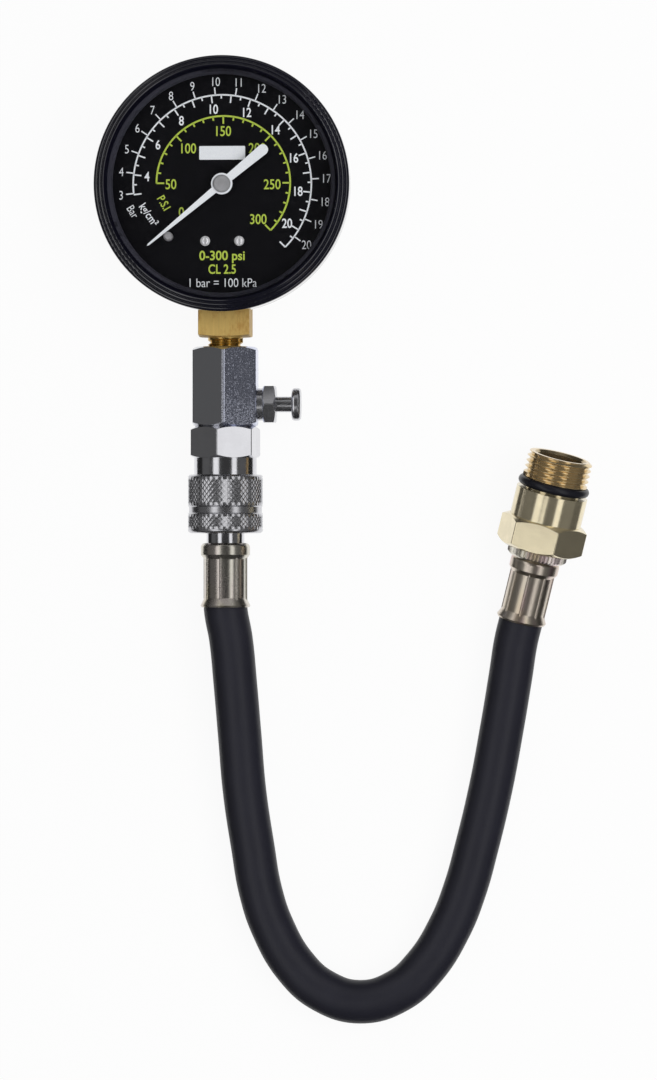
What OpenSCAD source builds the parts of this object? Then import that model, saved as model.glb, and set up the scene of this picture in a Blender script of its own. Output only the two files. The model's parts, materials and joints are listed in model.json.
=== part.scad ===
// Compression tester gauge: a dial gauge on a brass stem, a valve body with a
// push release, a quick coupler and a short hose that ends in a screw-in adapter.
// It lies on the back of its case. Origin: centre of the case's back, on the
// pointer's axis. +Z leaves the dial, +Y points to twelve o'clock. Millimetres.

/* [Gauge head] */
// Outer diameter of the bezel
bezel_d = 69.5; // [67:0.5:76]
// Thickness of the bezel's skirt
bezel_wall = 1.2; // [1:0.1:1.6]
// Length of the bezel's skirt over the case
bezel_skirt = 7.5; // [5:0.5:9]
// Radius of each of the rolled beads on the bezel's front
bead = 0.95; // [0.8:0.05:1]
// Width of the bezel's front from its edge to its opening
bezel_lip = 3.8; // [3.6:0.1:4.6]
// Sheet thickness of the case
case_wall = 1; // [0.8:0.1:1.2]
// Radius of the case's back edge
case_edge = 3; // [2:0.25:3.25]
// Height of the case's rim above its back
case_depth = 25.8; // [25.4:0.1:27]
// Thickness of the window
window_t = 1.6; // [1.2:0.1:2]
// Depth of the dial's underside below the case's rim
dial_sink = 5.8; // [5.4:0.1:6.4]
// Thickness of the dial plate
dial_t = 0.6; // [0.4:0.1:0.9]
// Width of the cone from the bezel's opening in to the spacer's rim
spacer_slope = 1.3; // [1:0.1:2.4]
// Height of the spacer's rim above the dial
rim_lift = 3.6; // [3.2:0.1:4]

/* [Pointer] */
// Length of the needle from the axis to its tip
pointer_tip = 26.4; // [24:0.2:28]
// Length of the counterweight from the axis
pointer_tail = 15.9; // [12:0.1:18]
// Width of the needle beside its hub
pointer_w = 2; // [1.6:0.1:2.4]
// Width of the counterweight's round end
tail_w = 2.9; // [2.4:0.1:3.4]
// Thickness of the pointer's sheet
pointer_t = 0.5; // [0.4:0.1:0.8]
// Height of the pointer above the dial
pointer_lift = 2.2; // [1.8:0.1:2.6]
// Outer diameter of the pointer's eye
pointer_eye_d = 5.8; // [5.4:0.1:7]
// Angle of the pointer at rest, counter-clockwise from +X
pointer_rest = 219.5; // [210:0.5:225]
// Turn of the pointer from rest to full scale
pointer_sweep = 265; // [240:1:270]
// Diameter of the stop pin
stop_d = 2.5; // [1.5:0.1:3]
// Distance of the stop pin from the pointer's axis
stop_r = 20.4; // [16:0.2:22]

/* [Movement] */
// Gear module of pinion and sector
gear_module = 0.3; // [0.28:0.01:0.31]
// Teeth on the pinion
pinion_teeth = 12; // [11:1:13]
// Teeth on a full circle of the sector
sector_teeth = 84; // [80:1:86]
// Thickness of the sector
sector_t = 1.2; // [0.8:0.1:1.4]
// Direction of the sector's pivot from the pointer's axis
sector_dir = -35; // [-38:1:-32]
// Length of the sector's tail between its pivots
tail_arm = 5; // [4.5:0.1:5.5]
// Length of the link between its pivots
link_len = 8; // [7.5:0.1:8.5]
// Thickness of the movement's plates
plate_t = 1; // [0.8:0.1:1.2]
// Distance between the movement's plates
plate_gap = 5; // [4.8:0.1:5.4]
// Diameter of the arbors between the plates
arbor_d = 1.6; // [1.4:0.1:1.8]
// Diameter of the arbors' pivots in the plates
pivot_d = 1.2; // [1:0.1:1.3]
// Radius of the coiled pressure tube at the middle of its wall
tube_r = 24.5; // [24:0.1:25.5]
// Height of the flattened pressure tube
tube_h = 9; // [8:0.2:9.4]
// Thickness of the flattened pressure tube
tube_t = 2.6; // [2.2:0.1:3]
// Wall of the pressure tube
tube_wall = 0.4; // [0.3:0.05:0.6]

/* [Stem] */
// Height of the stem's axis above the case's back
stem_z = 10.5; // [10.3:0.1:10.8]
// Width of the stem's square
square_w = 14; // [13:0.25:14.5]
// Distance from the pointer's axis to the end of the stem's square
stem_out = 41; // [39:0.5:44]
// Diameter of the stem's pipe thread
stem_thread_d = 9.6; // [9.2:0.1:10]
// Length of the stem's thread that shows above the valve body
neck_show = 2.8; // [2:0.1:4]
// Length of the stem's thread inside the valve body
stem_grip = 9; // [7:0.25:9.5]
// Diameter of the air passage
passage_d = 3.2; // [2.6:0.1:3.6]

/* [Valve] */
// Width of the valve body across its flats
valve_af = 17.5; // [16:0.25:18]
// Radius of the valve body's long edges
valve_edge = 0.9; // [0.4:0.1:1.2]
// Length of the valve body's hexagon
valve_len = 21.7; // [20.5:0.1:24]
// Distance of the release valve's axis from the valve body's lower end
release_up = 6; // [5.5:0.1:6.5]
// Diameter of the release housing's neck
release_neck_d = 8.9; // [8.7:0.1:9.4]
// Length of the release housing's neck
release_neck = 1.6; // [1.5:0.1:3]
// Width of the release housing's hexagon across its flats
release_af = 10; // [9:0.25:11]
// Thickness of the release housing's hexagon
release_hex_t = 3.6; // [2.8:0.1:4]
// Diameter of the release button's stem
button_stem_d = 4.3; // [4:0.1:4.6]
// Length of the button's stem that shows
button_show = 4.3; // [4:0.1:6]
// Diameter of the button's head
button_d = 9; // [8:0.1:10]
// Thickness of the button's head
button_t = 2.5; // [2:0.1:3]

/* [Coupler] */
// Width of the coupler's hexagon across its flats
coupler_af = 17.25; // [16:0.25:18]
// Radius of the long edges of the coupler's, release's and adapter's hexagons
hex_edge = 0.4; // [0.2:0.1:0.8]
// Length of the coupler's hexagon
coupler_hex = 8.9; // [8.7:0.1:11]
// Diameter of the coupler's barrel
barrel_d = 17.2; // [16.4:0.1:17.2]
// Length of the barrel that shows above the sleeve
barrel_show = 4.4; // [4:0.1:6]
// Outer diameter of the sliding sleeve
sleeve_d = 20.6; // [19.4:0.1:20.6]
// Length of the sliding sleeve
sleeve_len = 16; // [15.6:0.1:18]
// Width of the plain groove round the sleeve
groove_w = 1.6; // [1.2:0.1:3]
// Depth of the plain groove round the sleeve
groove_depth = 0.3; // [0.2:0.05:0.8]
// Diameter of the locking balls
ball_d = 2.5; // [2.4:0.05:2.6]
// Number of locking balls
balls = 6; // [4:1:7]
// Diameter of the hose's plug
plug_d = 10.4; // [10:0.1:10.6]
// Length of the plug that shows below the sleeve
plug_show = 2.7; // [2:0.1:4]

/* [Hose] */
// Outer diameter of the hose
hose_d = 12; // [11:0.25:12]
// Outer diameter of the hose where its ferrules squeeze it
squeezed_d = 10.4; // [9.6:0.1:10.5]
// Length of a ferrule
ferrule_len = 17.6; // [16:0.1:19]
// Diameter of a ferrule's closed shoulder
shoulder_d = 13.5; // [12.8:0.1:13.6]
// Diameter of a ferrule's crimped waist
waist_d = 11.7; // [11.6:0.1:12.2]
// Diameter of a ferrule's flared mouth
flare_d = 13.7; // [13.3:0.1:14.2]
// Outer diameter of the barbed tails inside the hose
barb_d = 6.4; // [6:0.1:7]

/* [Adapter] */
// Diameter of the end fitting's knurled collar
collar_d = 16.4; // [15.6:0.1:17]
// Width of the end fitting's knurled collar
collar_w = 2.7; // [2.2:0.1:3.4]
// Ridges round the knurled collar
collar_ridges = 48; // [36:1:52]
// Diameter of the end fitting's thread inside the adapter
fitting_thread_d = 13.1; // [12.8:0.1:13.2]
// Width of the adapter's hexagon across its flats
adapter_af = 21; // [20.6:0.1:21.4]
// Length of the adapter's hexagon
adapter_hex = 8.4; // [7:0.1:10]
// Diameter of the adapter's plain cylinder
adapter_d = 19.7; // [19:0.1:20.2]
// Length of the adapter's plain cylinder
adapter_plain = 7.8; // [6:0.1:10]
// Cross-section of the adapter's sealing ring
ring_section = 2.4; // [2:0.1:2.5]
// Outer diameter of the adapter's spark plug thread
spark_thread_d = 17.9; // [17.6:0.1:18]
// Gap between the adapter's plain cylinder and its sealing ring
ring_gap = 0.6; // [0.1:0.1:0.8]
// Length of the adapter's spark plug thread
spark_thread = 7; // [6:0.1:10]

/* [Clearances] */
// Clearance of sliding and turning fits, on the radius
fit = 0.05; // [0.03:0.01:0.08]
// Room between parts that pass each other
room = 0.3; // [0.25:0.05:0.4]

/* [Hidden] */
$fn = 64;

// Gauge head, outwards from the dial
bezel_r = bezel_d / 2;
case_r = bezel_r - bezel_wall - fit;
case_in = case_r - case_wall;
dial_z = case_depth - dial_sink;
dial_top = dial_z + dial_t;
window_z = case_depth - 0.2;
window_top = window_z + window_t;
window_r = case_in - room;
bezel_eye_r = bezel_r - bezel_lip;
dial_view_r = bezel_eye_r - spacer_slope;
bezel_front = window_top + 1.6;
rim_z = dial_top + rim_lift;
cone_run = spacer_slope / (window_top - rim_z);
spacer_eye_r = dial_view_r + cone_run * (window_z - rim_z);
ledge = 0.1;
beads_in_r = bezel_r - 3 * bead - 2 * ledge;
front_edge_r = min(bezel_eye_r + cone_run * (bezel_front - window_top), beads_in_r - ledge / 2);

// Movement, downwards from the dial that it carries
movement_depth = 9;
movement_z = dial_z - movement_depth;
plates_low = movement_z + plate_t;
plates_high = plates_low + plate_gap;
sector_z = plates_low + 1.6;
link_z = sector_z + sector_t + 0.4;
link_t = 0.7;
link_pin_d = 1;
ear_t = 2;
ear_top = link_z - 0.2 - room;
pinion_r = gear_module * pinion_teeth / 2;
sector_r = gear_module * sector_teeth / 2;
sector_sweep = pointer_sweep * pinion_teeth / sector_teeth;
pressure_angle = 20;
sector_at = (pinion_r + sector_r) * [cos(sector_dir), sin(sector_dir)];
tail_rest = sector_dir - sector_sweep / 2;
tail_at = sector_at + tail_arm * [cos(tail_rest), sin(tail_rest)];
link_dir = sector_dir + 90;
tip_at = tail_at + link_len * [cos(link_dir), sin(link_dir)];
tip_angle = atan2(tip_at[1], tip_at[0]);
ear_r = 1.9;
tip_half = asin((ear_r + fit) / (tube_r - tube_t / 2));
tube_end = tip_angle + tip_half;
tube_root = 254;
tube_seat = 20;
pillar_d = 3.2;
pillars = [[-8.5, -14], [9.5, -16], [-7.5, 8], [12, 8]];
plate_low = [-11, -19.5];
plate_high = [15, 11];
movement_screws_at = [[-4, -17.2], [4, -17.2]];
dial_screws_at = [[-4.63, -15.45], [4.63, -15.45]];
case_screws_in = 6.75;
case_screws_at = [for (side = [-1, 1]) [side * 5, case_screws_in - case_in]];
screw_d = 1.6;
case_screw_d = 2.4;

// Pointer and its stop
pointer_z = dial_top + pointer_lift;
needle_end_w = 0.5;
needle_w_at_stop = pointer_w + (needle_end_w - pointer_w) * stop_r / pointer_tip;
stop_angle = pointer_rest + asin((stop_d / 2 + needle_w_at_stop / 2 + fit) / stop_r);

// Places along the stem, as distances from the pointer's axis
valve_top = stem_out + neck_show;
valve_end = valve_top + valve_len;
hex_end = valve_end + coupler_hex;
sleeve_top = hex_end + barrel_show;
sleeve_end = sleeve_top + sleeve_len;
ferrule_top = sleeve_end + plug_show;
release_at = valve_end - release_up;
stem_thread_r = stem_thread_d / 2;
passage_r = passage_d / 2;
nipple_len = 8;

// Release valve, as distances from the stem's axis
release_face = valve_af / 2;
release_seat = 5;
release_thread_r = release_neck_d / 2 - 0.25;
chamber_r = 3.4;
chamber_low = -2;
valve_disc_r = chamber_r - 0.5;
valve_disc_t = 1.3;
seal_t = 0.6;
valve_disc_top = release_seat - seal_t - 0.1;
release_hex_at = release_face + release_neck;
release_out = release_hex_at + release_hex_t;
button_at = release_out + button_show;

// Coupler, along the stem
barrel_r = barrel_d / 2;
plug_r = plug_d / 2;
bore_r = plug_r + fit;
inner_barrel_r = bore_r + 1.75;
land_r = inner_barrel_r + fit;
barrel_step = sleeve_top + 2.2;
land_top = barrel_step + 6.5;
land_end = land_top + 4.1;
ball_at = (land_top + land_end) / 2;
ball_circle = inner_barrel_r - ball_d / 2;
snap_at = land_end + 0.15;
snap_t = 0.9;
snap_r = inner_barrel_r + 1.1;
body_end = sleeve_end - 0.8;
gland_at = land_top - 4;
gland_seal_t = 1.8;
nose_r = plug_r - 1.2;
nose_top = gland_at - 3.6;
plug_step = gland_at + gland_seal_t + 0.7;

// Hose: its route lies on the table between the two ferrules
route = [
    [0, -101, 10.5], [0, -115.1, 10.5], [1.5, -124, 10.2], [2.6, -136, 9.2], [3.7, -150, 7.8],
    [5, -166, 6.6], [7.2, -181, 6.1], [9.3, -193, 6.1], [12.6, -203, 6.1], [19, -214, 6.1],
    [26.5, -220.6, 6.1], [36.8, -223.6, 6.1], [47.1, -220.6, 6.1], [54.5, -214, 6.1],
    [61.4, -203, 6.1], [65.6, -192.5, 6.1], [68.8, -181, 6.1], [72.6, -165, 6.1],
    [75.6, -149, 6.2], [78.1, -134, 6.6], [79.6, -124.4, 7.3], [81, -118.6, 8.1],
    [84.3, -105, 10.3]
];
hose_sides = 12;
ferrule_bore_r = squeezed_d / 2 + fit;
ferrule_end_t = 1.5;
neck_r = 4.2;
barb_len = 13;

// Far end: its axis starts at the mouth of its ferrule
end_mouth = route[len(route) - 2];
end_turn = 13.7;
end_lift = 9;
collar_at = ferrule_len;
adapter_at = collar_at + collar_w;
plain_at = adapter_at + adapter_hex;
groove_at = plain_at + adapter_plain;
thread_at = groove_at + ring_gap + ring_section + 0.1;
adapter_end = thread_at + spark_thread;
fitting_r = fitting_thread_d / 2;
adapter_bore_r = fitting_r + fit;
fitting_end = adapter_end - 5.5;
fitting_ring_t = 1.8;
fitting_groove_r = fitting_r - 0.9;
core_r = 2.5;
core_len = 6;
core_at = fitting_end - 2 * core_len;
core_spring_room = 5;
core_low = core_at - core_spring_room;
core_pin_r = 0.6;
core_pin_end = fitting_end - 1.6;
core_head_t = 0.9;
core_disc_r = 1.6;
core_disc_t = 1.2;

steel = [0.78, 0.79, 0.8];
bright = [0.86, 0.86, 0.88];
brass = [0.8, 0.68, 0.42];
zinc = [0.62, 0.58, 0.46];
rubber = [0.1, 0.1, 0.12];
ink = [0.13, 0.13, 0.15];

// Points on a circle between two angles
function polar(r, a) = r * [cos(a), sin(a)];
function arc(c, r, a0, a1, n = 8) = [for (i = [0:n]) c + polar(r, a0 + (a1 - a0) * i / n)];

// Involute gear teeth: half the angle that a tooth takes up at radius r
function involute(a) = tan(a) * 180 / PI - a;
function tooth_half(n, r) =
    let (base = gear_module * n / 2 * cos(pressure_angle))
    90 / n * 0.9 + involute(pressure_angle) - involute(r > base ? acos(base / r) : 0);
function tooth(n, tip, c, steps = 4) =
    let (root = gear_module * (n / 2 - 1.25))
    let (top = gear_module * (n / 2 + tip))
    let (radii = [for (i = [0:steps]) root + (top - root) * i / steps])
    concat(
        [for (r = radii) polar(r, c - tooth_half(n, r))],
        [for (i = [steps:-1:0]) polar(radii[i], c + tooth_half(n, radii[i]))]
    );

// A round tube along a line of points, closed at both ends
function unit(v) = v / norm(v);
function along(p, i) = unit(p[min(i + 1, len(p) - 1)] - p[max(i - 1, 0)]);
function tube_ring(c, t, r, n) =
    let (side = unit(cross(t, [0, 0, 1])), up = cross(side, t))
    [for (k = [0:n - 1]) c + r * (cos(360 * k / n) * side + sin(360 * k / n) * up)];
module tube(path, radii, n) {
    last = (len(path) - 1) * n;
    polyhedron(
        points = [for (i = [0:len(path) - 1]) each tube_ring(path[i], along(path, i), radii[i], n)],
        faces = concat(
            [[for (k = [n - 1:-1:0]) k], [for (k = [0:n - 1]) last + k]],
            [for (i = [0:len(path) - 2], k = [0:n - 1])
                [i * n + k, i * n + (k + 1) % n, (i + 1) * n + (k + 1) % n, (i + 1) * n + k]]
        ),
        convexity = 6
    );
}

// A coil spring that stands on z = 0, with flat turns at both ends
module coil_spring(d, wire, height, turns, steps = 18) {
    r = d / 2 - wire / 2;
    count = (turns + 2) * steps;
    rise = height - wire;
    path = [for (i = [0:count])
        let (t = min(max(i / steps - 1, 0), turns) / turns)
        concat(polar(r, 360 * i / steps), wire / 2 + rise * t)];
    tube(path, [for (p = path) wire / 2 - 0.01], 6);
}

// Lays +Z along the stem, away from the gauge, with +Y upwards
module on_stem(at) {
    translate([0, -at, stem_z]) rotate([90, 0, 0]) children();
}

// Lays +Z along the release valve, away from the stem
module on_release(at) {
    translate([at, -release_at, stem_z]) rotate([0, 90, 0]) children();
}

// Lays +Z along the far end, from the mouth of its ferrule outwards
module on_end(at) {
    translate(end_mouth) rotate([end_lift, 0, -end_turn]) rotate([-90, 0, 0])
        translate([0, 0, at]) children();
}

// A ring of rectangular section
module ring(r_in, r_out, h) {
    difference() {
        cylinder(r = r_out, h = h);
        translate([0, 0, -1]) cylinder(r = r_in, h = h + 2);
    }
}

// A hexagon bar with turned ends and rounded long edges
module hex_bar(af, h, edge) {
    corner = af / 2 / cos(30);
    edge_at = (af / 2 - edge) / cos(30);
    face = af * 0.475;
    cut = (corner - face) * tan(30);
    intersection() {
        linear_extrude(h) polygon([for (k = [0:5])
            each arc(polar(edge_at, 60 * k), edge, 60 * k - 30, 60 * k + 30, 4)]);
        rotate_extrude() polygon([[0, 0], [face, 0], [corner, cut], [corner, h - cut], [face, h], [0, h]]);
    }
}

// A slotted screw: its domed head stands on z = 0 and its shank hangs below
module slotted_screw(head_d, head_h, d, shank) {
    dome = head_h * 0.6;
    dome_r = (head_d * head_d / 4 + dome * dome) / (2 * dome);
    difference() {
        union() {
            intersection() {
                cylinder(d = head_d, h = head_h);
                translate([0, 0, head_h - dome_r]) sphere(dome_r);
            }
            translate([0, 0, -shank]) cylinder(d = d - 2 * fit, h = shank);
        }
        translate([-head_d / 10, -head_d, head_h / 2]) cube([head_d / 5, 2 * head_d, head_h]);
    }
}

// The movement's plates share one outline
module plate_outline() {
    r = 2;
    size = plate_high - plate_low;
    translate(plate_low) {
        translate([r, 0]) square([size[0] - 2 * r, size[1]]);
        translate([0, r]) square([size[0], size[1] - 2 * r]);
        for (x = [r, size[0] - r], y = [r, size[1] - r]) translate([x, y]) circle(r);
    }
}
module pivot_holes() {
    circle(d = pivot_d + 2 * fit);
    translate(sector_at) circle(d = pivot_d + 2 * fit);
    for (p = pillars) translate(p) circle(d = pillar_d / 2 + 2 * fit);
}

// The flattened section of the pressure tube, swept round the pointer's axis
module tube_coil(grow, from, to) {
    t = tube_t + 2 * grow;
    h = tube_h + 2 * grow;
    rotate([0, 0, from]) rotate_extrude(angle = to - from) translate([tube_r, stem_z]) {
        square([t, h - t], center = true);
        for (side = [-1, 1]) translate([0, side * (h - t) / 2]) circle(d = t);
    }
}

module gauge_case() {
    color(bright) difference() {
        rotate_extrude() polygon(concat(
            [[0, 0]], arc([case_r - case_edge, case_edge], case_edge, -90, 0),
            [[case_r, case_depth], [case_in, case_depth]],
            arc([case_r - case_edge, case_edge], case_edge - case_wall, 0, -90), [[0, case_wall]]
        ));
        on_stem(case_r - 5) translate([0, 0, 5]) cube(square_w + 2 * fit, center = true);
        for (p = case_screws_at) translate([p[0], p[1], -fit])
            cylinder(r1 = case_screw_d + fit, r2 = case_screw_d / 2 + fit, h = case_wall + 2 * fit);
    }
}

module bezel() {
    skirt_end = max(case_depth - bezel_skirt, stem_z + square_w / 2 + room);
    seat_r = window_r + room;
    beads_at = [for (k = [0:2])
        [bezel_r - bead - k * (bead + ledge), bezel_front - (3 - k) * bead]];
    color(ink) rotate_extrude() {
        polygon(concat(
            [[bezel_r - bezel_wall, skirt_end], [bezel_r, skirt_end]],
            [for (p = beads_at) each [p + [bead, 0], p, p + [0, bead]]],
            [[front_edge_r, bezel_front], [bezel_eye_r, window_top], [seat_r, window_top],
                [seat_r, case_depth + 0.2], [bezel_r - bezel_wall, case_depth + 0.2]]
        ));
        for (p = beads_at) translate(p) intersection() {
            circle(bead);
            square(bead);
        }
    }
}

module window() {
    color([0.9, 0.95, 0.97, 0.3]) translate([0, 0, window_z]) cylinder(r = window_r, h = window_t);
}

module dial_spacer() {
    rim_t = 0.4;
    wall_r = dial_view_r + 0.8;
    color(ink) rotate_extrude() polygon([
        [wall_r, dial_top], [case_in - fit, dial_top], [case_in - fit, window_z],
        [spacer_eye_r, window_z], [dial_view_r, rim_z], [dial_view_r, rim_z - rim_t],
        [wall_r, rim_z - 2 * rim_t]
    ]);
}

module dial() {
    color(ink) translate([0, 0, dial_z]) difference() {
        cylinder(r = case_in - room, h = dial_t);
        translate([0, 0, -1]) cylinder(r = 2, h = dial_t + 2);
        for (p = dial_screws_at) translate([p[0], p[1], -1]) cylinder(d = screw_d + 2 * fit, h = dial_t + 2);
        translate(concat(polar(stop_r, stop_angle), -1)) cylinder(d = stop_d / 2 + 2 * fit, h = dial_t + 2);
    }
}

module dial_screws() {
    color(bright) for (p = dial_screws_at) translate([p[0], p[1], dial_top])
        slotted_screw(2.7, 0.9, screw_d, dial_top - plates_high);
}

module stop_pin() {
    edge = 0.5;
    top = pointer_lift + pointer_t + 0.6;
    color(bright) translate(concat(polar(stop_r, stop_angle), dial_top)) {
        cylinder(d = stop_d, h = top - edge);
        translate([0, 0, top - edge]) cylinder(r1 = stop_d / 2, r2 = stop_d / 2 - edge, h = edge);
        translate([0, 0, -dial_t - 0.4]) cylinder(d = stop_d / 2, h = dial_t + 0.4);
    }
}

module pointer() {
    eye = pointer_eye_d / 2;
    color([0.93, 0.94, 0.96]) translate([0, 0, pointer_z]) rotate([0, 0, pointer_rest])
        linear_extrude(pointer_t) difference() {
            union() {
                polygon([[0, -pointer_w / 2], [pointer_tip - needle_end_w, -needle_end_w / 2],
                    [pointer_tip, 0], [pointer_tip - needle_end_w, needle_end_w / 2], [0, pointer_w / 2]]);
                polygon([[0, pointer_w / 2], [tail_w / 2 - pointer_tail, tail_w / 2],
                    [tail_w / 2 - pointer_tail, -tail_w / 2], [0, -pointer_w / 2]]);
                translate([tail_w / 2 - pointer_tail, 0]) circle(d = tail_w);
                circle(eye);
            }
            circle(eye / 2 + fit);
        }
}

module pointer_hub() {
    neck = pointer_eye_d / 4;
    cap_r = pointer_eye_d / 2 - 0.5;
    top = pointer_z + pointer_t;
    color(steel) difference() {
        union() {
            translate([0, 0, pointer_z - 1]) cylinder(r = neck + 0.5, h = 1);
            translate([0, 0, pointer_z]) cylinder(r = neck, h = pointer_t);
            translate([0, 0, top]) cylinder(r = cap_r, h = 0.4);
            translate([0, 0, top + 0.4]) cylinder(r1 = cap_r, r2 = cap_r - 0.4, h = 0.4);
        }
        translate([0, 0, pointer_z - 2]) cylinder(r = pivot_d / 2 + fit, h = pointer_t + 2.2);
    }
}

module pinion_arbor() {
    shoulder = 0.1;
    low = movement_z - 0.3;
    color(steel) {
        translate([0, 0, low]) cylinder(d = pivot_d, h = pointer_z + pointer_t - low);
        translate([0, 0, plates_low + shoulder]) cylinder(d = arbor_d, h = plate_gap - 2 * shoulder);
        translate([0, 0, sector_z - 0.5]) linear_extrude(sector_t + 1)
            polygon([for (k = [0:pinion_teeth - 1])
                each tooth(pinion_teeth, 1, sector_dir + (k + 0.5) * 360 / pinion_teeth)]);
        translate([0, 0, plates_high - 1.1]) cylinder(d = 2 * arbor_d, h = 0.7);
    }
}

module sector_gear() {
    pitch = 360 / sector_teeth;
    ahead = 2;
    behind = ceil(sector_sweep / pitch) + 1;
    toward = sector_dir + 180;
    rim = gear_module * (sector_teeth / 2 - 1.25) - 1.6;
    hub = arbor_d + 1;
    first = toward - (behind + 0.5) * pitch;
    last = toward + (ahead + 0.5) * pitch;
    spoke = 8;
    color(brass) translate([sector_at[0], sector_at[1], sector_z]) linear_extrude(sector_t) difference() {
        union() {
            polygon(concat([[0, 0]], [for (k = [-behind:ahead])
                each tooth(sector_teeth, 0.7, toward + k * pitch)]));
            circle(hub);
            rotate(tail_rest) translate([0, -1]) square([tail_arm, 2]);
            translate(polar(tail_arm, tail_rest)) circle(1.6);
        }
        polygon(concat(arc([0, 0], rim, first + spoke, last - spoke),
            arc([0, 0], hub + 1.2, last - spoke, first + spoke)));
        circle(d = arbor_d + 2 * fit);
        translate(polar(tail_arm, tail_rest)) circle(d = link_pin_d + 2 * fit);
    }
}

module sector_arbor() {
    shoulder = 0.1;
    color(steel) translate(sector_at) {
        translate([0, 0, movement_z - 0.3]) cylinder(d = pivot_d, h = plate_gap + 2 * plate_t + 0.6);
        translate([0, 0, plates_low + shoulder]) cylinder(d = arbor_d, h = plate_gap - 2 * shoulder);
        translate([0, 0, plates_low + shoulder])
            cylinder(d = 2 * arbor_d, h = sector_z - plates_low - shoulder);
    }
}

module link() {
    color(brass) translate([tail_at[0], tail_at[1], link_z]) rotate([0, 0, link_dir])
        linear_extrude(link_t) difference() {
            union() {
                translate([0, -0.9]) square([link_len, 1.8]);
                for (x = [0, link_len]) translate([x, 0]) circle(1.5);
            }
            for (x = [0, link_len]) translate([x, 0]) circle(d = link_pin_d + 2 * fit);
        }
}

module link_pins() {
    head_t = 0.3;
    color(steel) for (p = [concat(tail_at, sector_z), concat(tip_at, ear_top + room)]) {
        translate(p) cylinder(d = link_pin_d, h = link_z + link_t - p[2]);
        translate([p[0], p[1], link_z + link_t]) cylinder(d = link_pin_d + 0.8, h = head_t);
    }
}

module hairspring() {
    turns = 3.5;
    steps = 24;
    strip = 0.2;
    inner = arbor_d + 0.25;
    pitch = 0.8;
    h = 0.5;
    z = plates_high - 1;
    count = turns * steps;
    outer = inner + turns * pitch;
    function spiral(i, side) = polar(inner + pitch * i / steps + side, 360 * i / steps);
    color(steel) {
        translate([0, 0, z]) linear_extrude(h) polygon(concat(
            [for (i = [0:count]) spiral(i, 0)], [for (i = [count:-1:0]) spiral(i, strip)]));
        translate(concat(polar(outer, 360 * turns), z) - [0.6, 0.4, 0]) cube([1.2, 0.8, plates_high - z]);
    }
}

module movement_back_plate() {
    color(brass) translate([0, 0, movement_z]) linear_extrude(plate_t) difference() {
        plate_outline();
        pivot_holes();
        for (p = movement_screws_at) translate(p) circle(d = screw_d + 2 * fit);
    }
}

module movement_front_plate() {
    boss = dial_z - plates_high - plate_t;
    color(brass) translate([0, 0, plates_high]) {
        linear_extrude(plate_t) difference() {
            plate_outline();
            pivot_holes();
            for (p = dial_screws_at) translate(p) circle(d = screw_d + 2 * fit);
        }
        for (p = dial_screws_at) translate([p[0], p[1], plate_t])
            ring(screw_d / 2 + fit, screw_d / 2 + 1.4, boss);
    }
}

module movement_pillars() {
    color(brass) for (p = pillars) translate(p) {
        translate([0, 0, plates_low]) cylinder(d = pillar_d, h = plate_gap);
        translate([0, 0, movement_z]) cylinder(d = pillar_d / 2, h = plate_gap + 2 * plate_t);
    }
}

module movement_screws() {
    color(steel) for (p = movement_screws_at) translate([p[0], p[1], plates_low])
        slotted_screw(3, 1, screw_d, 6);
}

module bourdon_tube() {
    color(brass) difference() {
        tube_coil(0, tube_end, tube_root);
        tube_coil(-tube_wall, tube_end - 1, tube_root + 1);
    }
}

module tube_tip() {
    ear_low = min(ear_top, stem_z + tube_h / 2) - ear_t;
    color(brass) {
        tube_coil(0, tip_angle - tip_half, tube_end);
        translate([0, 0, ear_low]) linear_extrude(ear_top - ear_low) difference() {
            union() {
                translate(tip_at) rotate(tip_angle) translate([0, -ear_r])
                    square([tube_r - norm(tip_at), 2 * ear_r]);
                translate(tip_at) circle(ear_r);
            }
            translate(tip_at) circle(d = link_pin_d + 2 * fit);
        }
    }
}

module stem_socket() {
    head_w = square_w + 2;
    head_top = stem_z + tube_h / 2 + 1;
    head_near = 0.5 - plate_low[1];
    head_far = case_in - 3;
    ledge_near = 9.5;
    bar = stem_out - head_far + 1;
    corner_cut = 0.5;
    corner_run = square_w / 2 * (sqrt(2) - 1);
    end_r = square_w / 2 + 0.1;
    color(brass) difference() {
        union() {
            on_stem(head_far - 1) intersection() {
                translate([-square_w / 2, -square_w / 2, 0]) cube([square_w, square_w, bar]);
                cylinder(r1 = end_r + bar * corner_run / corner_cut, r2 = end_r, h = bar);
            }
            translate([-head_w / 2, -head_far, case_wall])
                cube([head_w, head_far - head_near, head_top - case_wall]);
            translate([-head_w / 2, -head_near, case_wall])
                cube([head_w, head_near - ledge_near, movement_z - case_wall]);
            on_stem(stem_out - 1) cylinder(r = stem_thread_r, h = 1 + neck_show + stem_grip);
        }
        on_stem(-tube_r * sin(tube_root)) cylinder(r = passage_r, h = stem_out + neck_show + stem_grip);
        translate([tube_r * cos(tube_root) - tube_t, tube_r * sin(tube_root), stem_z]) rotate([0, 90, 0])
            cylinder(r = passage_r * 0.75, h = -tube_r * cos(tube_root) + tube_t);
        tube_coil(fit, tube_root - tube_seat, tube_root + 0.2);
        for (p = movement_screws_at) translate([p[0], p[1], plates_low - 6.2])
            cylinder(d = screw_d, h = 10);
        for (p = case_screws_at) translate([p[0], p[1], 0]) cylinder(d = case_screw_d, h = 4.5);
    }
}

module case_screws() {
    color(steel) for (p = case_screws_at) translate([p[0], p[1], 0]) difference() {
        union() {
            cylinder(r1 = case_screw_d - fit, r2 = case_screw_d / 2 - fit, h = case_wall);
            cylinder(d = case_screw_d - 2 * fit, h = 4.3);
        }
        translate([-case_screw_d, -0.3, -0.3]) cube([2 * case_screw_d, 0.6, 0.7]);
    }
}

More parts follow.
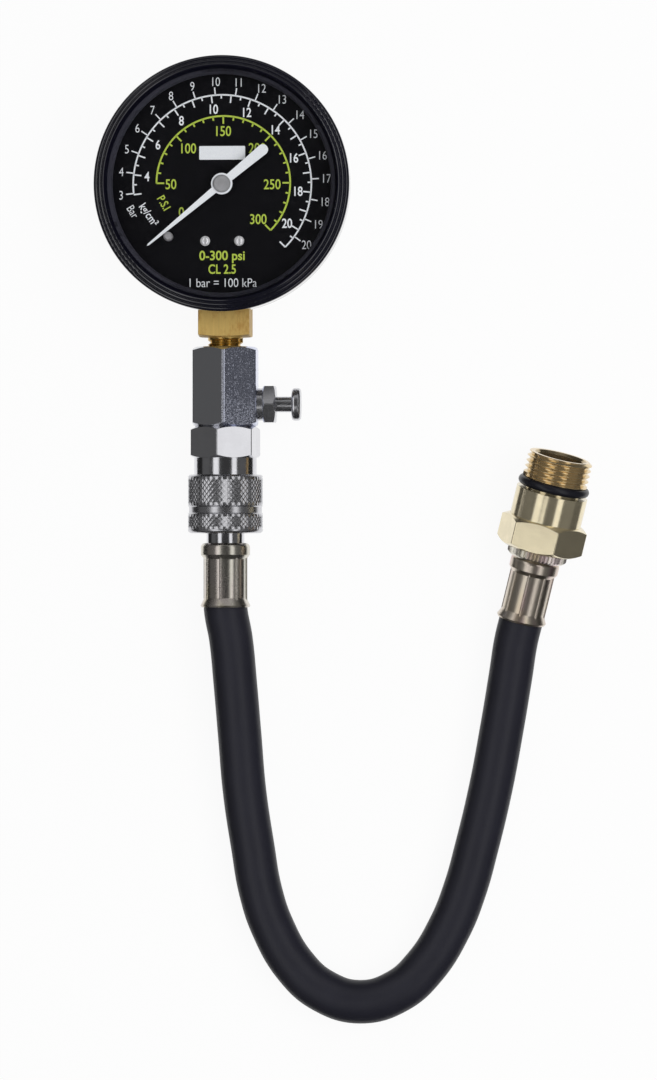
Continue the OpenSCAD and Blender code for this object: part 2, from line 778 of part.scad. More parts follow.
module valve_body() {
    color(steel) difference() {
        union() {
            on_stem(valve_top) rotate([0, 0, 30]) hex_bar(valve_af, valve_len, valve_edge);
            on_stem(valve_end - 1) cylinder(r = stem_thread_r, h = nipple_len + 1);
        }
        on_stem(valve_top - 1) cylinder(r = stem_thread_r + fit, h = stem_grip + 1.3);
        on_stem(valve_top) cylinder(r = passage_r, h = valve_len + nipple_len + 1);
        on_release(chamber_low) cylinder(r = chamber_r, h = release_face - chamber_low + 1);
        on_release(release_seat) cylinder(r = release_thread_r + fit, h = release_face);
    }
}

module release_housing() {
    color(steel) difference() {
        union() {
            on_release(release_seat) cylinder(r = release_thread_r, h = release_face - release_seat);
            on_release(release_face) cylinder(d = release_neck_d, h = release_neck);
            on_release(release_hex_at) hex_bar(release_af, release_hex_t, hex_edge);
        }
        on_release(release_seat - 1) cylinder(d = button_stem_d + 2 * fit, h = release_out);
    }
}

module release_button() {
    r = button_d / 2;
    edge = button_t / 3;
    color(bright) {
        on_release(valve_disc_top - valve_disc_t) cylinder(r = valve_disc_r, h = valve_disc_t);
        on_release(valve_disc_top) cylinder(d = button_stem_d, h = button_at - valve_disc_top);
        on_release(button_at) rotate_extrude() polygon(concat(
            [[0, 0]], arc([r - edge, edge], edge, -90, 0, 4),
            arc([r - edge, button_t - edge], edge, 0, 90, 4), [[0, button_t]]
        ));
    }
}

module release_seal() {
    color(rubber) on_release(valve_disc_top) ring(button_stem_d / 2 + fit, valve_disc_r, seal_t);
}

module release_spring() {
    low = chamber_low + fit;
    high = valve_disc_top - valve_disc_t - fit;
    color(steel) on_release(low) coil_spring(2 * valve_disc_r - 0.4, 0.5, high - low, 3);
}

module coupler_body() {
    nose_bore = nose_r + 2 * fit;
    color(steel) difference() {
        union() {
            on_stem(valve_end) rotate([0, 0, -20]) hex_bar(coupler_af, coupler_hex, hex_edge);
            on_stem(hex_end - 1) cylinder(r = barrel_r, h = barrel_step - hex_end + 1);
            on_stem(barrel_step - 1) cylinder(r = inner_barrel_r, h = body_end - barrel_step + 1);
        }
        on_stem(valve_end - 1) cylinder(r = stem_thread_r + fit, h = nipple_len + 1.3);
        on_stem(valve_end) cylinder(r = passage_r, h = body_end - valve_end);
        on_stem(nose_top - 0.4) cylinder(r = nose_bore, h = body_end - nose_top);
        on_stem(gland_at) cylinder(r = bore_r, h = body_end - gland_at + 1);
        on_stem(snap_at - fit) ring(inner_barrel_r - 0.5, inner_barrel_r + 1, snap_t + 2 * fit);
        for (k = [0:balls - 1]) on_stem(ball_at) rotate([0, 90, (k + 0.5) * 360 / balls])
            cylinder(d = ball_d + 2 * fit, h = inner_barrel_r + 1);
    }
}

module coupler_sleeve() {
    r = sleeve_d / 2;
    edge = 1;
    cut = 0.5;
    mid = sleeve_len * 0.6;
    top = mid - groove_w / 2;
    low = mid + groove_w / 2;
    skirt = barrel_r + fit;
    recess = snap_r + room;
    color(steel) on_stem(sleeve_top) rotate_extrude() polygon(concat(
        [[skirt, 0], [r - cut, 0], [r, cut], [r, top - groove_depth], [r - groove_depth, top],
            [r - groove_depth, low], [r, low + groove_depth]],
        arc([r - edge, sleeve_len - edge], edge, 0, 90, 5),
        [[recess, sleeve_len], [recess, land_end - sleeve_top], [land_r, land_end - sleeve_top],
            [land_r, land_top - sleeve_top], [skirt, land_top - sleeve_top]]
    ));
}

module sleeve_spring() {
    low = barrel_step + fit;
    color(steel) on_stem(low) coil_spring(2 * barrel_r - 0.1, 0.8, land_top - fit - low, 1.5);
}

module locking_balls() {
    color(bright) for (k = [0:balls - 1]) on_stem(ball_at) rotate([0, 0, (k + 0.5) * 360 / balls])
        translate([ball_circle, 0, 0]) sphere(d = ball_d);
}

module retaining_ring() {
    gap = 2;
    color(steel) on_stem(snap_at) difference() {
        ring(inner_barrel_r - 0.5 + fit, snap_r, snap_t);
        translate([-gap / 2, 0, -1]) cube([gap, snap_r + 1, snap_t + 2]);
    }
}

module coupler_seal() {
    color(rubber) on_stem(gland_at) ring(nose_r + fit, bore_r - fit, gland_seal_t);
}

module hose_plug() {
    groove_r = ball_d / 2 + fit;
    color(bright) difference() {
        union() {
            on_stem(nose_top) cylinder(r = nose_r, h = plug_step - nose_top + 1);
            on_stem(plug_step) cylinder(r = plug_r, h = ferrule_top - plug_step);
            on_stem(ferrule_top - 1) cylinder(r = neck_r, h = ferrule_end_t + 1);
            on_stem(ferrule_top) cylinder(d = barb_d, h = ferrule_end_t + barb_len);
        }
        on_stem(ball_at) rotate_extrude() translate([ball_circle, 0]) circle(groove_r);
        on_stem(nose_top - 1) cylinder(r = passage_r, h = ferrule_top + barb_len + 4 - nose_top);
    }
}

// A crimped ferrule: its closed end stands on z = 0 and its mouth is at the top. The crimping dies
// leave a ridge wherever two of them meet.
module ferrule(ridge_turn) {
    shoulder_r = shoulder_d / 2;
    flare_r = flare_d / 2;
    waist_r = waist_d / 2;
    dies = 8;
    ridge_d = 0.8;
    shoulder_h = 4.4;
    flare_h = 2.5;
    edge = 1.2;
    lip = 0.5;
    color(zinc) difference() {
        union() {
            rotate_extrude() polygon(concat(
                [[0, 0]], arc([shoulder_r - edge, edge], edge, -90, 0, 6),
                [[shoulder_r, shoulder_h - 1.2], [waist_r, shoulder_h]],
                [[waist_r, ferrule_len - flare_h], [flare_r, ferrule_len - lip]],
                [[flare_r - lip / 2, ferrule_len], [0, ferrule_len]]
            ));
            for (k = [0:dies - 1]) rotate([0, 0, ridge_turn + k * 360 / dies])
                translate([waist_r - 0.1, 0, shoulder_h - 0.7])
                    cylinder(d = ridge_d, h = ferrule_len - flare_h - shoulder_h + 1.6);
        }
        translate([0, 0, -1]) cylinder(r = neck_r + fit, h = ferrule_len);
        translate([0, 0, ferrule_end_t]) cylinder(r = ferrule_bore_r, h = ferrule_len);
        translate([0, 0, ferrule_len - flare_h])
            cylinder(r1 = ferrule_bore_r, r2 = hose_d / 2 + fit, h = flare_h + 0.01);
    }
}

module plug_ferrule() {
    on_stem(ferrule_top) ferrule(9);
}

module hose() {
    last = len(route) - 1;
    radii = [for (i = [0:last]) (i == 0 || i == last ? squeezed_d : hose_d) / 2];
    color(rubber) tube(route, radii, hose_sides);
}

module end_ferrule() {
    on_end(ferrule_len) mirror([0, 0, 1]) ferrule(39);
}

module hose_end_fitting() {
    r = collar_d / 2;
    ridge = 0.5;
    cut = 0.8;
    tail = collar_at - ferrule_end_t - barb_len;
    color(zinc) difference() {
        union() {
            on_end(tail) cylinder(d = barb_d, h = barb_len + ferrule_end_t + 1);
            on_end(collar_at - ferrule_end_t) cylinder(r = neck_r, h = ferrule_end_t + 1);
            on_end(collar_at) intersection() {
                linear_extrude(collar_w) polygon([for (k = [0:2 * collar_ridges - 1])
                    polar(r - ridge * (k % 2), 180 * k / collar_ridges)]);
                rotate_extrude() polygon([[0, 0], [r - cut, 0], [r + ridge, cut + ridge],
                    [r + ridge, collar_w], [0, collar_w]]);
            }
            on_end(adapter_at - 1) cylinder(r = fitting_groove_r, h = fitting_ring_t + 2);
            on_end(adapter_at + fitting_ring_t + 0.2)
                cylinder(r = fitting_r, h = fitting_end - adapter_at - fitting_ring_t - 0.2);
        }
        on_end(tail - 1) cylinder(r = passage_r * 0.9, h = fitting_end);
        on_end(core_low) cylinder(r = core_r + fit, h = fitting_end);
        on_end(fitting_end - 1) cylinder(r1 = core_r + fit, r2 = core_r + 1.5, h = 1.01);
    }
}

module fitting_o_ring() {
    color(rubber) on_end(adapter_at + 0.1)
        ring(fitting_groove_r + fit, fitting_r + 0.7, fitting_ring_t - 0.1);
}

module valve_core_body() {
    color(brass) on_end(core_at) ring(core_pin_r + fit, core_r, core_len);
}

module valve_core_pin() {
    low = core_at - 0.1 - core_disc_t;
    color(bright) {
        on_end(low) cylinder(r = core_disc_r, h = core_disc_t);
        on_end(low) cylinder(r = core_pin_r, h = core_pin_end - low);
        on_end(core_pin_end - core_head_t) cylinder(r = 2 * core_pin_r, h = core_head_t);
    }
}

module valve_core_spring() {
    low = core_at + core_len + fit;
    color(steel) on_end(low) coil_spring(3.2, 0.4, core_pin_end - core_head_t - fit - low, 3);
}

module spark_plug_adapter() {
    groove_r = adapter_d / 2 - ring_section - fit;
    thread_r = spark_thread_d / 2;
    lead = 0.8;
    mouth = 0.7;
    color(brass) difference() {
        union() {
            on_end(adapter_at) rotate([0, 0, -8.5]) hex_bar(adapter_af, adapter_hex, hex_edge);
            on_end(plain_at - 1) cylinder(d = adapter_d, h = adapter_plain + 1);
            on_end(groove_at - 1) cylinder(r = groove_r, h = adapter_end - groove_at);
            on_end(thread_at) cylinder(r = thread_r, h = spark_thread - lead);
            on_end(adapter_end - lead) cylinder(r1 = thread_r, r2 = thread_r - lead / 2, h = lead);
        }
        on_end(adapter_at - 1) cylinder(r = adapter_bore_r, h = adapter_end);
        on_end(adapter_at - 1) cylinder(r = fitting_r + 0.7 + fit, h = fitting_ring_t + 1.1);
        on_end(adapter_end - mouth)
            cylinder(r1 = adapter_bore_r, r2 = adapter_bore_r + mouth, h = mouth + 0.01);
    }
}

module adapter_o_ring() {
    r = ring_section / 2;
    color(rubber) on_end(groove_at + ring_gap + r)
        rotate_extrude() translate([adapter_d / 2 - r, 0]) circle(r);
}

gauge_case();
bezel();
window();
dial_spacer();
dial();
dial_screws();
stop_pin();
pointer();
pointer_hub();
pinion_arbor();
sector_gear();
sector_arbor();
link();
link_pins();
hairspring();
movement_back_plate();
movement_front_plate();
movement_pillars();
movement_screws();
bourdon_tube();
tube_tip();
stem_socket();
case_screws();
valve_body();
release_housing();
release_button();
release_seal();
release_spring();
coupler_body();
coupler_sleeve();
sleeve_spring();
locking_balls();
retaining_ring();
coupler_seal();
hose_plug();
plug_ferrule();
hose();
end_ferrule();
hose_end_fitting();
fitting_o_ring();
valve_core_body();
valve_core_pin();
valve_core_spring();
spark_plug_adapter();
adapter_o_ring();
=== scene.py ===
"""Dresses a compression gauge: dial print, threads, knurl, springs, hose, finishes and stage."""
import json
import math

import bmesh
import bpy
from bpy.props import FloatProperty, FloatVectorProperty, IntProperty, PointerProperty
from mathutils import Matrix, Vector


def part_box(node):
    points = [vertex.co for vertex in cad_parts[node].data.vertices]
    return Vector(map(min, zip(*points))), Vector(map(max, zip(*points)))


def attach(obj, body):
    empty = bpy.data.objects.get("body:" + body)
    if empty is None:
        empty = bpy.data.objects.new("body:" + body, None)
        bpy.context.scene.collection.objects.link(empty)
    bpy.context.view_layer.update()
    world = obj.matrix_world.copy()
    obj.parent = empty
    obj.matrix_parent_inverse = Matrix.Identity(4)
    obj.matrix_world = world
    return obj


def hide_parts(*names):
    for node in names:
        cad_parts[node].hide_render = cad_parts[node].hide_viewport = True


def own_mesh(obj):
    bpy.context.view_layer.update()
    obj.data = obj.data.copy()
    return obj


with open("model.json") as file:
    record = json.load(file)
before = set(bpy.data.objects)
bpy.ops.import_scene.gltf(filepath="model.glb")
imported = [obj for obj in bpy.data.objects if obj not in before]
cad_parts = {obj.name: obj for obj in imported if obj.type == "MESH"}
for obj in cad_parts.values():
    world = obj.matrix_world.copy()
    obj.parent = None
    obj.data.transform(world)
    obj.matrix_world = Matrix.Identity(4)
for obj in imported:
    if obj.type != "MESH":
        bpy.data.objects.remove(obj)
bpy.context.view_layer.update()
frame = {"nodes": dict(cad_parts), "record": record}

bl_info = {
    "name": "Compression Gauge Dresser",
    "version": (1, 0, 0),
    "blender": (4, 5, 0),
    "location": "View3D > Sidebar > Gauge",
    "description": "Print, threads, knurl, hose and finishes of a compression gauge",
    "category": "Object",
}

MM = 0.001

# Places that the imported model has, in millimetres
STEM_Z = 10.5
DIAL_TOP = 20.6
STEM_OUT = 41
STEM_THREAD_RADIUS = 4.8
PLUG_THREAD = 39.6, 46.6
PLUG_THREAD_RADIUS = 8.95
HOSE_ROUTE = (
    (0, -101, 10.5), (0, -115.1, 10.5), (1.5, -124, 10.2), (2.6, -136, 9.2), (3.7, -150, 7.8),
    (5, -166, 6.6), (7.2, -181, 6.1), (9.3, -193, 6.1), (12.6, -203, 6.1), (19, -214, 6.1),
    (26.5, -220.6, 6.1), (36.8, -223.6, 6.1), (47.1, -220.6, 6.1), (54.5, -214, 6.1),
    (61.4, -203, 6.1), (65.6, -192.5, 6.1), (68.8, -181, 6.1), (72.6, -165, 6.1),
    (75.6, -149, 6.2), (78.1, -134, 6.6), (79.6, -124.4, 7.3), (81, -118.6, 8.1),
    (84.3, -105, 10.3),
)

# Where the hose goes into its far ferrule, and the way that it points there
END_MOUTH = Vector(HOSE_ROUTE[-2]) * MM
END_TURN, END_LIFT = math.radians(13.7), math.radians(9)
END_OUT = Vector((
    math.sin(END_TURN) * math.cos(END_LIFT),
    math.cos(END_TURN) * math.cos(END_LIFT),
    math.sin(END_LIFT),
))
ON_END = Matrix.Translation(END_MOUTH) @ END_OUT.to_track_quat("Z", "Y").to_matrix().to_4x4()
ON_STEM = Matrix.Translation((0, 0, STEM_Z * MM)) @ Matrix.Rotation(math.pi / 2, 4, "X")

# Radii in millimetres at which a finish changes: the bezel's lacquered part, and the adapter's
# bore, inside which shade is painted
LACQUER_RADIUS = 32.0
BORE_RADIUS = 7.0

# Angles of one bar and of one kg/cm² on the dial, and the last number in psi
BAR_STEP, KG_STEP = math.radians(13.053), math.radians(12.80)
PSI_END = 300

# How far the letters are fattened, and how high the ink stands, in millimetres
THIN, MEDIUM, BOLD, HEAVY = -0.02, 0.03, 0.05, 0.06
PRINT_LIFT = 0.03

# Height of a figure as a share of the font's size
FIGURE_HEIGHT = 0.729

# Distance within which two points of a mesh count as one, and steps in one turn of a thread
SAME_POINT = 0.0005 * MM
TURN_STEPS = 64

WHITE = (1, 1, 1, 1)


class DialSettings(bpy.types.PropertyGroup):
    """Print on the dial."""

    bar_radius: FloatProperty(
        name="Bar arc", description="Radius of the white arc",
        default=24.25 * MM, unit="LENGTH")
    psi_radius: FloatProperty(
        name="Psi arc", description="Radius of the green arc",
        default=18.2 * MM, unit="LENGTH")
    line: FloatProperty(
        name="Line", description="Width of the printed lines",
        default=0.43 * MM, unit="LENGTH")
    zero: FloatProperty(
        name="Zero", description="Angle of the scales' zero",
        default=math.radians(225), subtype="ANGLE")
    sweep: FloatProperty(
        name="Sweep", description="Angle from zero to 300 psi",
        default=math.radians(270), subtype="ANGLE")
    white: FloatVectorProperty(
        name="White ink", description="Colour of the white print",
        default=(0.90, 0.93, 1.0), subtype="COLOR")
    green: FloatVectorProperty(
        name="Green ink", description="Colour of the green print",
        default=(0.52, 0.66, 0.075), subtype="COLOR")


class HoseSettings(bpy.types.PropertyGroup):
    """Rubber hose."""

    diameter: FloatProperty(
        name="Diameter", description="Outer diameter of the hose",
        default=12 * MM, unit="LENGTH")
    squeezed: FloatProperty(
        name="Squeezed", description="Diameter inside the ferrules",
        default=10.4 * MM, unit="LENGTH")
    length: FloatProperty(
        name="Length", description="Whole length of the hose",
        default=271 * MM, unit="LENGTH")
    rubber: FloatVectorProperty(
        name="Rubber", description="Colour of the rubber",
        default=(0.013, 0.013, 0.022), subtype="COLOR")


class MachiningSettings(bpy.types.PropertyGroup):
    """Threads and knurl."""

    plug_pitch: FloatProperty(
        name="Plug pitch", description="Pitch of the spark plug thread",
        default=1.5 * MM, unit="LENGTH")
    plug_depth: FloatProperty(
        name="Plug depth", description="Depth of the spark plug thread",
        default=0.9 * MM, unit="LENGTH")
    stem_pitch: FloatProperty(
        name="Stem pitch", description="Pitch of the stem's thread",
        default=1.3 * MM, unit="LENGTH")
    stem_depth: FloatProperty(
        name="Stem depth", description="Depth of the stem's thread",
        default=0.7 * MM, unit="LENGTH")
    diamonds: IntProperty(
        name="Diamonds", description="Knurl's diamonds round the sleeve", default=52)
    diamond_length: FloatProperty(
        name="Diamond", description="Length of one diamond along the sleeve",
        default=1.62 * MM, unit="LENGTH")
    diamond_depth: FloatProperty(
        name="Knurl depth", description="Height of the knurl's diamonds",
        default=0.17 * MM, unit="LENGTH")


class FinishSettings(bpy.types.PropertyGroup):
    """Colours of the metals and the enamel."""

    enamel: FloatVectorProperty(
        name="Enamel", description="Colour of the bezel",
        default=(0.004, 0.004, 0.010), subtype="COLOR")
    brass: FloatVectorProperty(
        name="Brass", description="Colour of the turned brass",
        default=(0.86, 0.76, 0.53), subtype="COLOR")
    drawn_brass: FloatVectorProperty(
        name="Drawn brass", description="Colour of the stem",
        default=(0.70, 0.48, 0.150), subtype="COLOR")
    nickel: FloatVectorProperty(
        name="Nickel", description="Colour of the plated pieces",
        default=(0.70, 0.70, 0.73), subtype="COLOR")
    zinc: FloatVectorProperty(
        name="Zinc", description="Colour of the ferrules",
        default=(0.71, 0.68, 0.60), subtype="COLOR")


class StageSettings(bpy.types.PropertyGroup):
    """Floor, lamps and camera."""

    floor: FloatVectorProperty(
        name="Floor", description="Colour of the floor",
        default=(0.88, 0.88, 0.88), subtype="COLOR")
    strip_light: FloatProperty(
        name="Strips", description="Brightness of the lamps that metal mirrors", default=1.0)
    fill_light: FloatProperty(
        name="Fill", description="Brightness of the lamp overhead", default=1.85)
    room: FloatProperty(
        name="Room", description="Light that metal mirrors from the dim ceiling", default=0.04)
    walls: FloatProperty(
        name="Walls", description="Light that metal mirrors from the walls", default=0.10)
    window: FloatProperty(
        name="Window", description="Light that metal mirrors from the far end", default=0.38)
    lens: FloatProperty(
        name="Lens", description="Camera's lens in millimetres", default=150.8)


class Link:
    """A shader socket that takes part in Python expressions."""

    def __init__(self, shader, socket):
        self.shader = shader
        self.socket = socket

    def math(self, operation, first, second):
        return self.shader.add("ShaderNodeMath", {"operation": operation}, {0: first, 1: second})

    def __add__(self, other):
        return self.math("ADD", self, other)

    def __sub__(self, other):
        return self.math("SUBTRACT", self, other)

    def __rsub__(self, other):
        return self.math("SUBTRACT", other, self)

    def __mul__(self, other):
        return self.math("MULTIPLY", self, other)

    __radd__ = __add__
    __rmul__ = __mul__


class Shader:
    """The node tree of one finish. Sizes of noise, bumps and rounded edges are in millimetres."""

    def __init__(self, holder):
        holder.use_nodes = True
        self.holder = holder
        self.tree = holder.node_tree
        self.tree.nodes.clear()

    def add(self, kind, settings=None, sockets=None, out=0):
        """A new node, as a link from one of its outputs where it has any."""
        node = self.tree.nodes.new(kind)
        for key, value in (settings or {}).items():
            setattr(node, key, value)
        for key, value in (sockets or {}).items():
            if isinstance(value, Link):
                self.tree.links.new(value.socket, node.inputs[key])
            else:
                node.inputs[key].default_value = value
        return Link(self, node.outputs[out]) if node.outputs else node

    def place(self, scale=(1, 1, 1), turn=(0, 0, 0), move=(0, 0, 0)):
        """Places on the piece, seen from a frame that is stretched, turned and moved."""
        here = self.add("ShaderNodeTexCoord", out="Object")
        return self.add("ShaderNodeMapping", {"vector_type": "TEXTURE"}, {
            "Vector": here, "Location": move, "Rotation": turn,
            "Scale": tuple(1 / s for s in scale),
        })

    def part(self, where, letter):
        """One of the three numbers of a place."""
        return self.add("ShaderNodeSeparateXYZ", None, {0: where}, out=letter)

    def aside(self, where):
        """Distance of a place from the Z axis."""
        flat = self.add("ShaderNodeVectorMath", {"operation": "MULTIPLY"},
                        {0: where, 1: (1, 1, 0)})
        return self.add("ShaderNodeVectorMath", {"operation": "LENGTH"}, {0: flat}, out="Value")

    def noise(self, where, size, detail, rough=0.55):
        """Noise whose spots are about one size across."""
        return self.add("ShaderNodeTexNoise", None, {
            "Vector": where, "Scale": 1 / (size * MM), "Detail": detail, "Roughness": rough,
        })

    def between(self, value, low, high, to_low=0.0, to_high=1.0):
        """A smooth step as the value goes from low to high."""
        return self.add("ShaderNodeMapRange", {"interpolation_type": "SMOOTHSTEP"}, {
            "Value": value, "From Min": low, "From Max": high, "To Min": to_low, "To Max": to_high,
        })

    def tint(self, share, first, second):
        """A mix of two colours."""
        return self.add("ShaderNodeMix", {"data_type": "RGBA"}, {
            0: share, 6: first if isinstance(first, Link) else (*first, 1),
            7: second if isinstance(second, Link) else (*second, 1),
        }, out=2)

    def bump(self, height, depth, strength, under=None):
        """A normal for fine relief of some depth, on top of another normal."""
        sockets = {"Height": height, "Strength": strength, "Distance": depth * MM}
        if under is not None:
            sockets["Normal"] = under
        return self.add("ShaderNodeBump", None, sockets)

    def rounded(self, radius):
        """A normal that rounds the edges off."""
        return self.add("ShaderNodeBevel", {"samples": 6}, {"Radius": radius * MM})

    def ray(self, kind):
        """One for rays of a kind, and nought for others."""
        return self.add("ShaderNodeLightPath", out="Is %s Ray" % kind)

    def either(self, share, first, second):
        """A mix of two shaders."""
        return self.add("ShaderNodeMixShader", None, {0: share, 1: first, 2: second})

    def shown(self, body):
        """The material, with a shader as its surface."""
        self.add("ShaderNodeOutputMaterial", None, {"Surface": body})
        return self.holder

    def surface(self, **sockets):
        """The material, with one principled shader and its sockets as its surface."""
        names = {key.replace("_", " ").title().replace("Ior", "IOR"): value
                 for key, value in sockets.items()}
        return self.shown(self.add("ShaderNodeBsdfPrincipled", None, names))


def finish(name):
    """A new material and its empty node tree."""
    return Shader(bpy.data.materials.new(name))


def shade(colour, *factors):
    """The colour, darker or lighter by one factor, or by one for each of its channels."""
    each = factors * 3 if len(factors) == 1 else factors
    return tuple(min(1.0, c * factor) for c, factor in zip(colour, each))


def enamel(name, colour, rough, dust, peeled=0.35, lacquer=None):
    """Baked enamel with a fine orange peel and a breath of dust, lacquered beyond a radius."""
    s = finish(name)
    where = s.place()
    coat = 0.0
    if lacquer is not None:
        coat = s.between(s.aside(where), (lacquer - 0.3) * MM, lacquer * MM)
        rough = rough + (1 - coat) * 0.55
    peel = s.noise(where, 0.5, 2)
    cloud = s.noise(where, 6, 4)
    specks = s.between(s.noise(where, 0.35, 1), 0.70, 0.78)
    body = s.tint(cloud, shade(colour, 0.85), shade(colour, 1.2))
    body = s.tint(specks * dust, body, shade(colour, 2.2))
    return s.surface(
        base_color=body, roughness=cloud * 0.1 + rough, normal=s.bump(peel, 0.02, peeled),
        specular_ior_level=0.08, coat_weight=coat, coat_roughness=0.08, coat_ior=1.8)


def matt(name, colour, rough):
    """Matt black paint, flat and even but for a slight cloud and a few specks of dust."""
    s = finish(name)
    where = s.place()
    cloud = s.noise(where, 9, 3)
    specks = s.between(s.noise(where, 0.3, 1), 0.74, 0.80)
    body = s.tint(cloud, shade(colour, 0.9), shade(colour, 1.12))
    body = s.tint(specks * 0.3, body, shade(colour, 2.5))
    return s.surface(
        base_color=body, roughness=rough - 0.04 + cloud * 0.08, specular_ior_level=0.16)


def ink(name, colour):
    """Screen print with a slightly uneven film."""
    s = finish(name)
    film = s.noise(s.place(), 0.6, 3)
    return s.surface(
        base_color=s.tint(film, shade(colour, 0.9), shade(colour, 1.06)),
        roughness=0.45 + film * 0.15)


def plated(name, colour, rough, scratch=0.25, edge=0.35, pits=0.5):
    """Bright plate with fine scratches, faint pits and edges that a tumbler has rounded."""
    s = finish(name)
    where = s.place()
    hair = s.noise(where, 0.35, 3, 0.6)
    cloud = s.noise(where, 3.5, 4)
    pit = s.between(s.noise(where, 0.55, 2), 0.66, 0.74)
    marks = s.between(hair, 0.56, 0.72)
    body = s.tint(cloud, shade(colour, 0.92), shade(colour, 1.05))
    body = s.tint(marks * scratch + pit * (0.4 * pits), body, shade(colour, 0.62))
    return s.surface(
        base_color=body, metallic=1.0,
        roughness=rough + marks * (0.5 * scratch) + cloud * 0.06 + pit * (0.3 * pits),
        normal=s.bump(hair, 0.01, scratch, s.rounded(edge)))


def rubbed(name, colour, rough):
    """Dull plate on drawn bar: faint lines along it, a right-hand side painted bluer as a painted
    reflection, and light, rough specks there.
    """
    s = finish(name)
    where = s.place()
    lines = s.noise(s.place(scale=(1, 0.03, 1)), 0.35, 3, 0.6)
    cloud = s.noise(where, 3.5, 4)
    side = s.between(s.part(where, "X"), -1 * MM, 1 * MM)
    by_coupler = s.between(s.part(where, "Y"), -62 * MM, -55 * MM, 0.08, 0.0)
    specks = s.between(s.noise(where, 0.42, 3, 0.65) + by_coupler, 0.52, 0.74) * side
    # Painted reflection: the right-hand side is tinted bluer, a cool light painted into its colour.
    body = s.tint(side, colour, shade(colour, 0.92, 0.96, 1.16))
    body = s.tint(cloud * 0.3, body, shade(colour, 0.85))
    body = s.tint(specks * 0.5, body, shade(colour, 1.3))
    return s.surface(
        base_color=body, metallic=1.0,
        roughness=rough + lines * 0.05 + cloud * 0.04 + specks * 0.45,
        normal=s.bump(lines, 0.01, 0.12, s.rounded(0.1)))


def turned(name, colour, rough, axis, streak=0.35, edge=0.25, stain=0.2, metal=1.0, thread=None):
    """Turned metal whose tool marks run round its axis, with a light tarnish, and painted shade on
    a thread and its bore.
    """
    s = finish(name)
    turn = Vector(axis).to_track_quat("Z", "Y").to_euler()
    lathe = s.noise(s.place(scale=(0.02, 0.02, 1), turn=turn), 0.12, 2)
    tarnish = s.noise(s.place(), 4, 5, 0.6)
    body = s.tint(s.between(tarnish, 0.35, 0.7), shade(colour, 1.05 - stain), shade(colour, 1.05))
    if thread is not None:
        origin, start, shaded_gold, bore = thread
        there = s.place(turn=turn, move=tuple(origin))
        # Painted shade: the thread is tinted a darker, deeper yellow than the turned body, standing
        # in for the shade and interreflection of its grooves.
        body = s.tint(s.between(s.part(there, "Z"), (start - 0.5) * MM, start * MM), body, shaded_gold)
        # Painted shade: inside the bore the thread's colour is darkened further, standing in for
        # shade in the hollow.
        wall = s.between(s.aside(there), bore * MM, (bore + 0.3) * MM)
        body = s.tint(wall, shade(shaded_gold, 0.6), body)
    return s.surface(
        base_color=body, metallic=metal, roughness=rough + lathe * 0.08 + tarnish * 0.06,
        normal=s.bump(lathe, 0.012, streak, s.rounded(edge)))


def drawn(name, colour, rough):
    """Drawn brass bar: long die lines along the stem, brown tarnish, and a bright thread."""
    s = finish(name)
    lines = s.noise(s.place(scale=(1, 0.04, 1)), 0.3, 4, 0.6)
    stain = s.noise(s.place(scale=(1, 0.5, 1)), 2.6, 5, 0.65)
    brown = s.between(stain, 0.46, 0.70)
    body = s.tint(lines, shade(colour, 0.8), shade(colour, 1.18))
    body = s.tint(brown * 0.75, body, shade(colour, 0.72, 0.55, 0.42))
    out = s.part(s.place(), "Y")
    thread = s.between(out, (-STEM_OUT - 0.5) * MM, -STEM_OUT * MM, 1.0, 0.0)
    rough = rough + lines * 0.12 + brown * 0.08
    return s.surface(
        base_color=body, metallic=0.3 + thread * 0.65, roughness=rough * (1 - thread * 0.6),
        normal=s.bump(lines, 0.02, 0.4, s.rounded(0.3)))


def passivated(name, colour, axis, rose, rough=0.22):
    """Yellow zinc passivate: a thin film that drifts from straw to rose along the piece."""
    s = finish(name)
    turn = Vector(axis).to_track_quat("Z", "Y").to_euler()
    band = s.noise(s.place(scale=(1, 1, 0.2), turn=turn), 5, 2, 0.4)
    drift = s.noise(s.place(scale=(1, 1, 0.4), turn=turn, move=(0.01, 0.02, 0.03)), 7, 2)
    grime = s.between(s.noise(s.place(), 1.1, 3), 0.60, 0.74)
    film = s.tint(s.between(band, 0.40, 0.62) * rose, colour, shade(colour, 1.06, 0.88, 1.06))
    film = s.tint(s.between(drift, 0.52, 0.70) * 0.6, film, shade(colour, 1, 0.95, 0.72))
    return s.surface(
        base_color=s.tint(grime * 0.2, film, shade(colour, 0.6)), metallic=1.0,
        roughness=rough + band * 0.06 + grime * 0.06)


def rubber(name, colour, rough, cloth=0.5):
    """Black rubber with a faint bloom and the fine weave of the wrap it was cured in."""
    s = finish(name)
    where = s.place()
    bloom = s.noise(where, 9, 4)
    weave = s.noise(where, 0.28, 2)
    specks = s.between(s.noise(where, 0.5, 1), 0.72, 0.80)
    body = s.tint(bloom, shade(colour, 0.82), shade(colour, 1.25))
    body = s.tint(specks * 0.35, body, shade(colour, 2.4))
    return s.surface(
        base_color=body, roughness=rough + bloom * 0.12, normal=s.bump(weave, 0.03, cloth))


def glass(name):
    """Clear window that lets the lamps through to the dial."""
    s = finish(name)
    smear = s.noise(s.place(), 14, 3)
    pane = s.add("ShaderNodeBsdfPrincipled", None, {
        "Base Color": WHITE, "Roughness": s.between(smear, 0.3, 0.8, 0.0, 0.03), "IOR": 1.45,
        "Transmission Weight": 1.0,
    })
    clear = s.add("ShaderNodeBsdfTransparent", None, {"Color": WHITE})
    return s.shown(s.either(s.ray("Shadow") + s.ray("Diffuse") + s.ray("Glossy"), pane, clear))


def wear(piece, material):
    """Give a piece or a node one material all over."""
    piece.data.materials.clear()
    piece.data.materials.append(material)


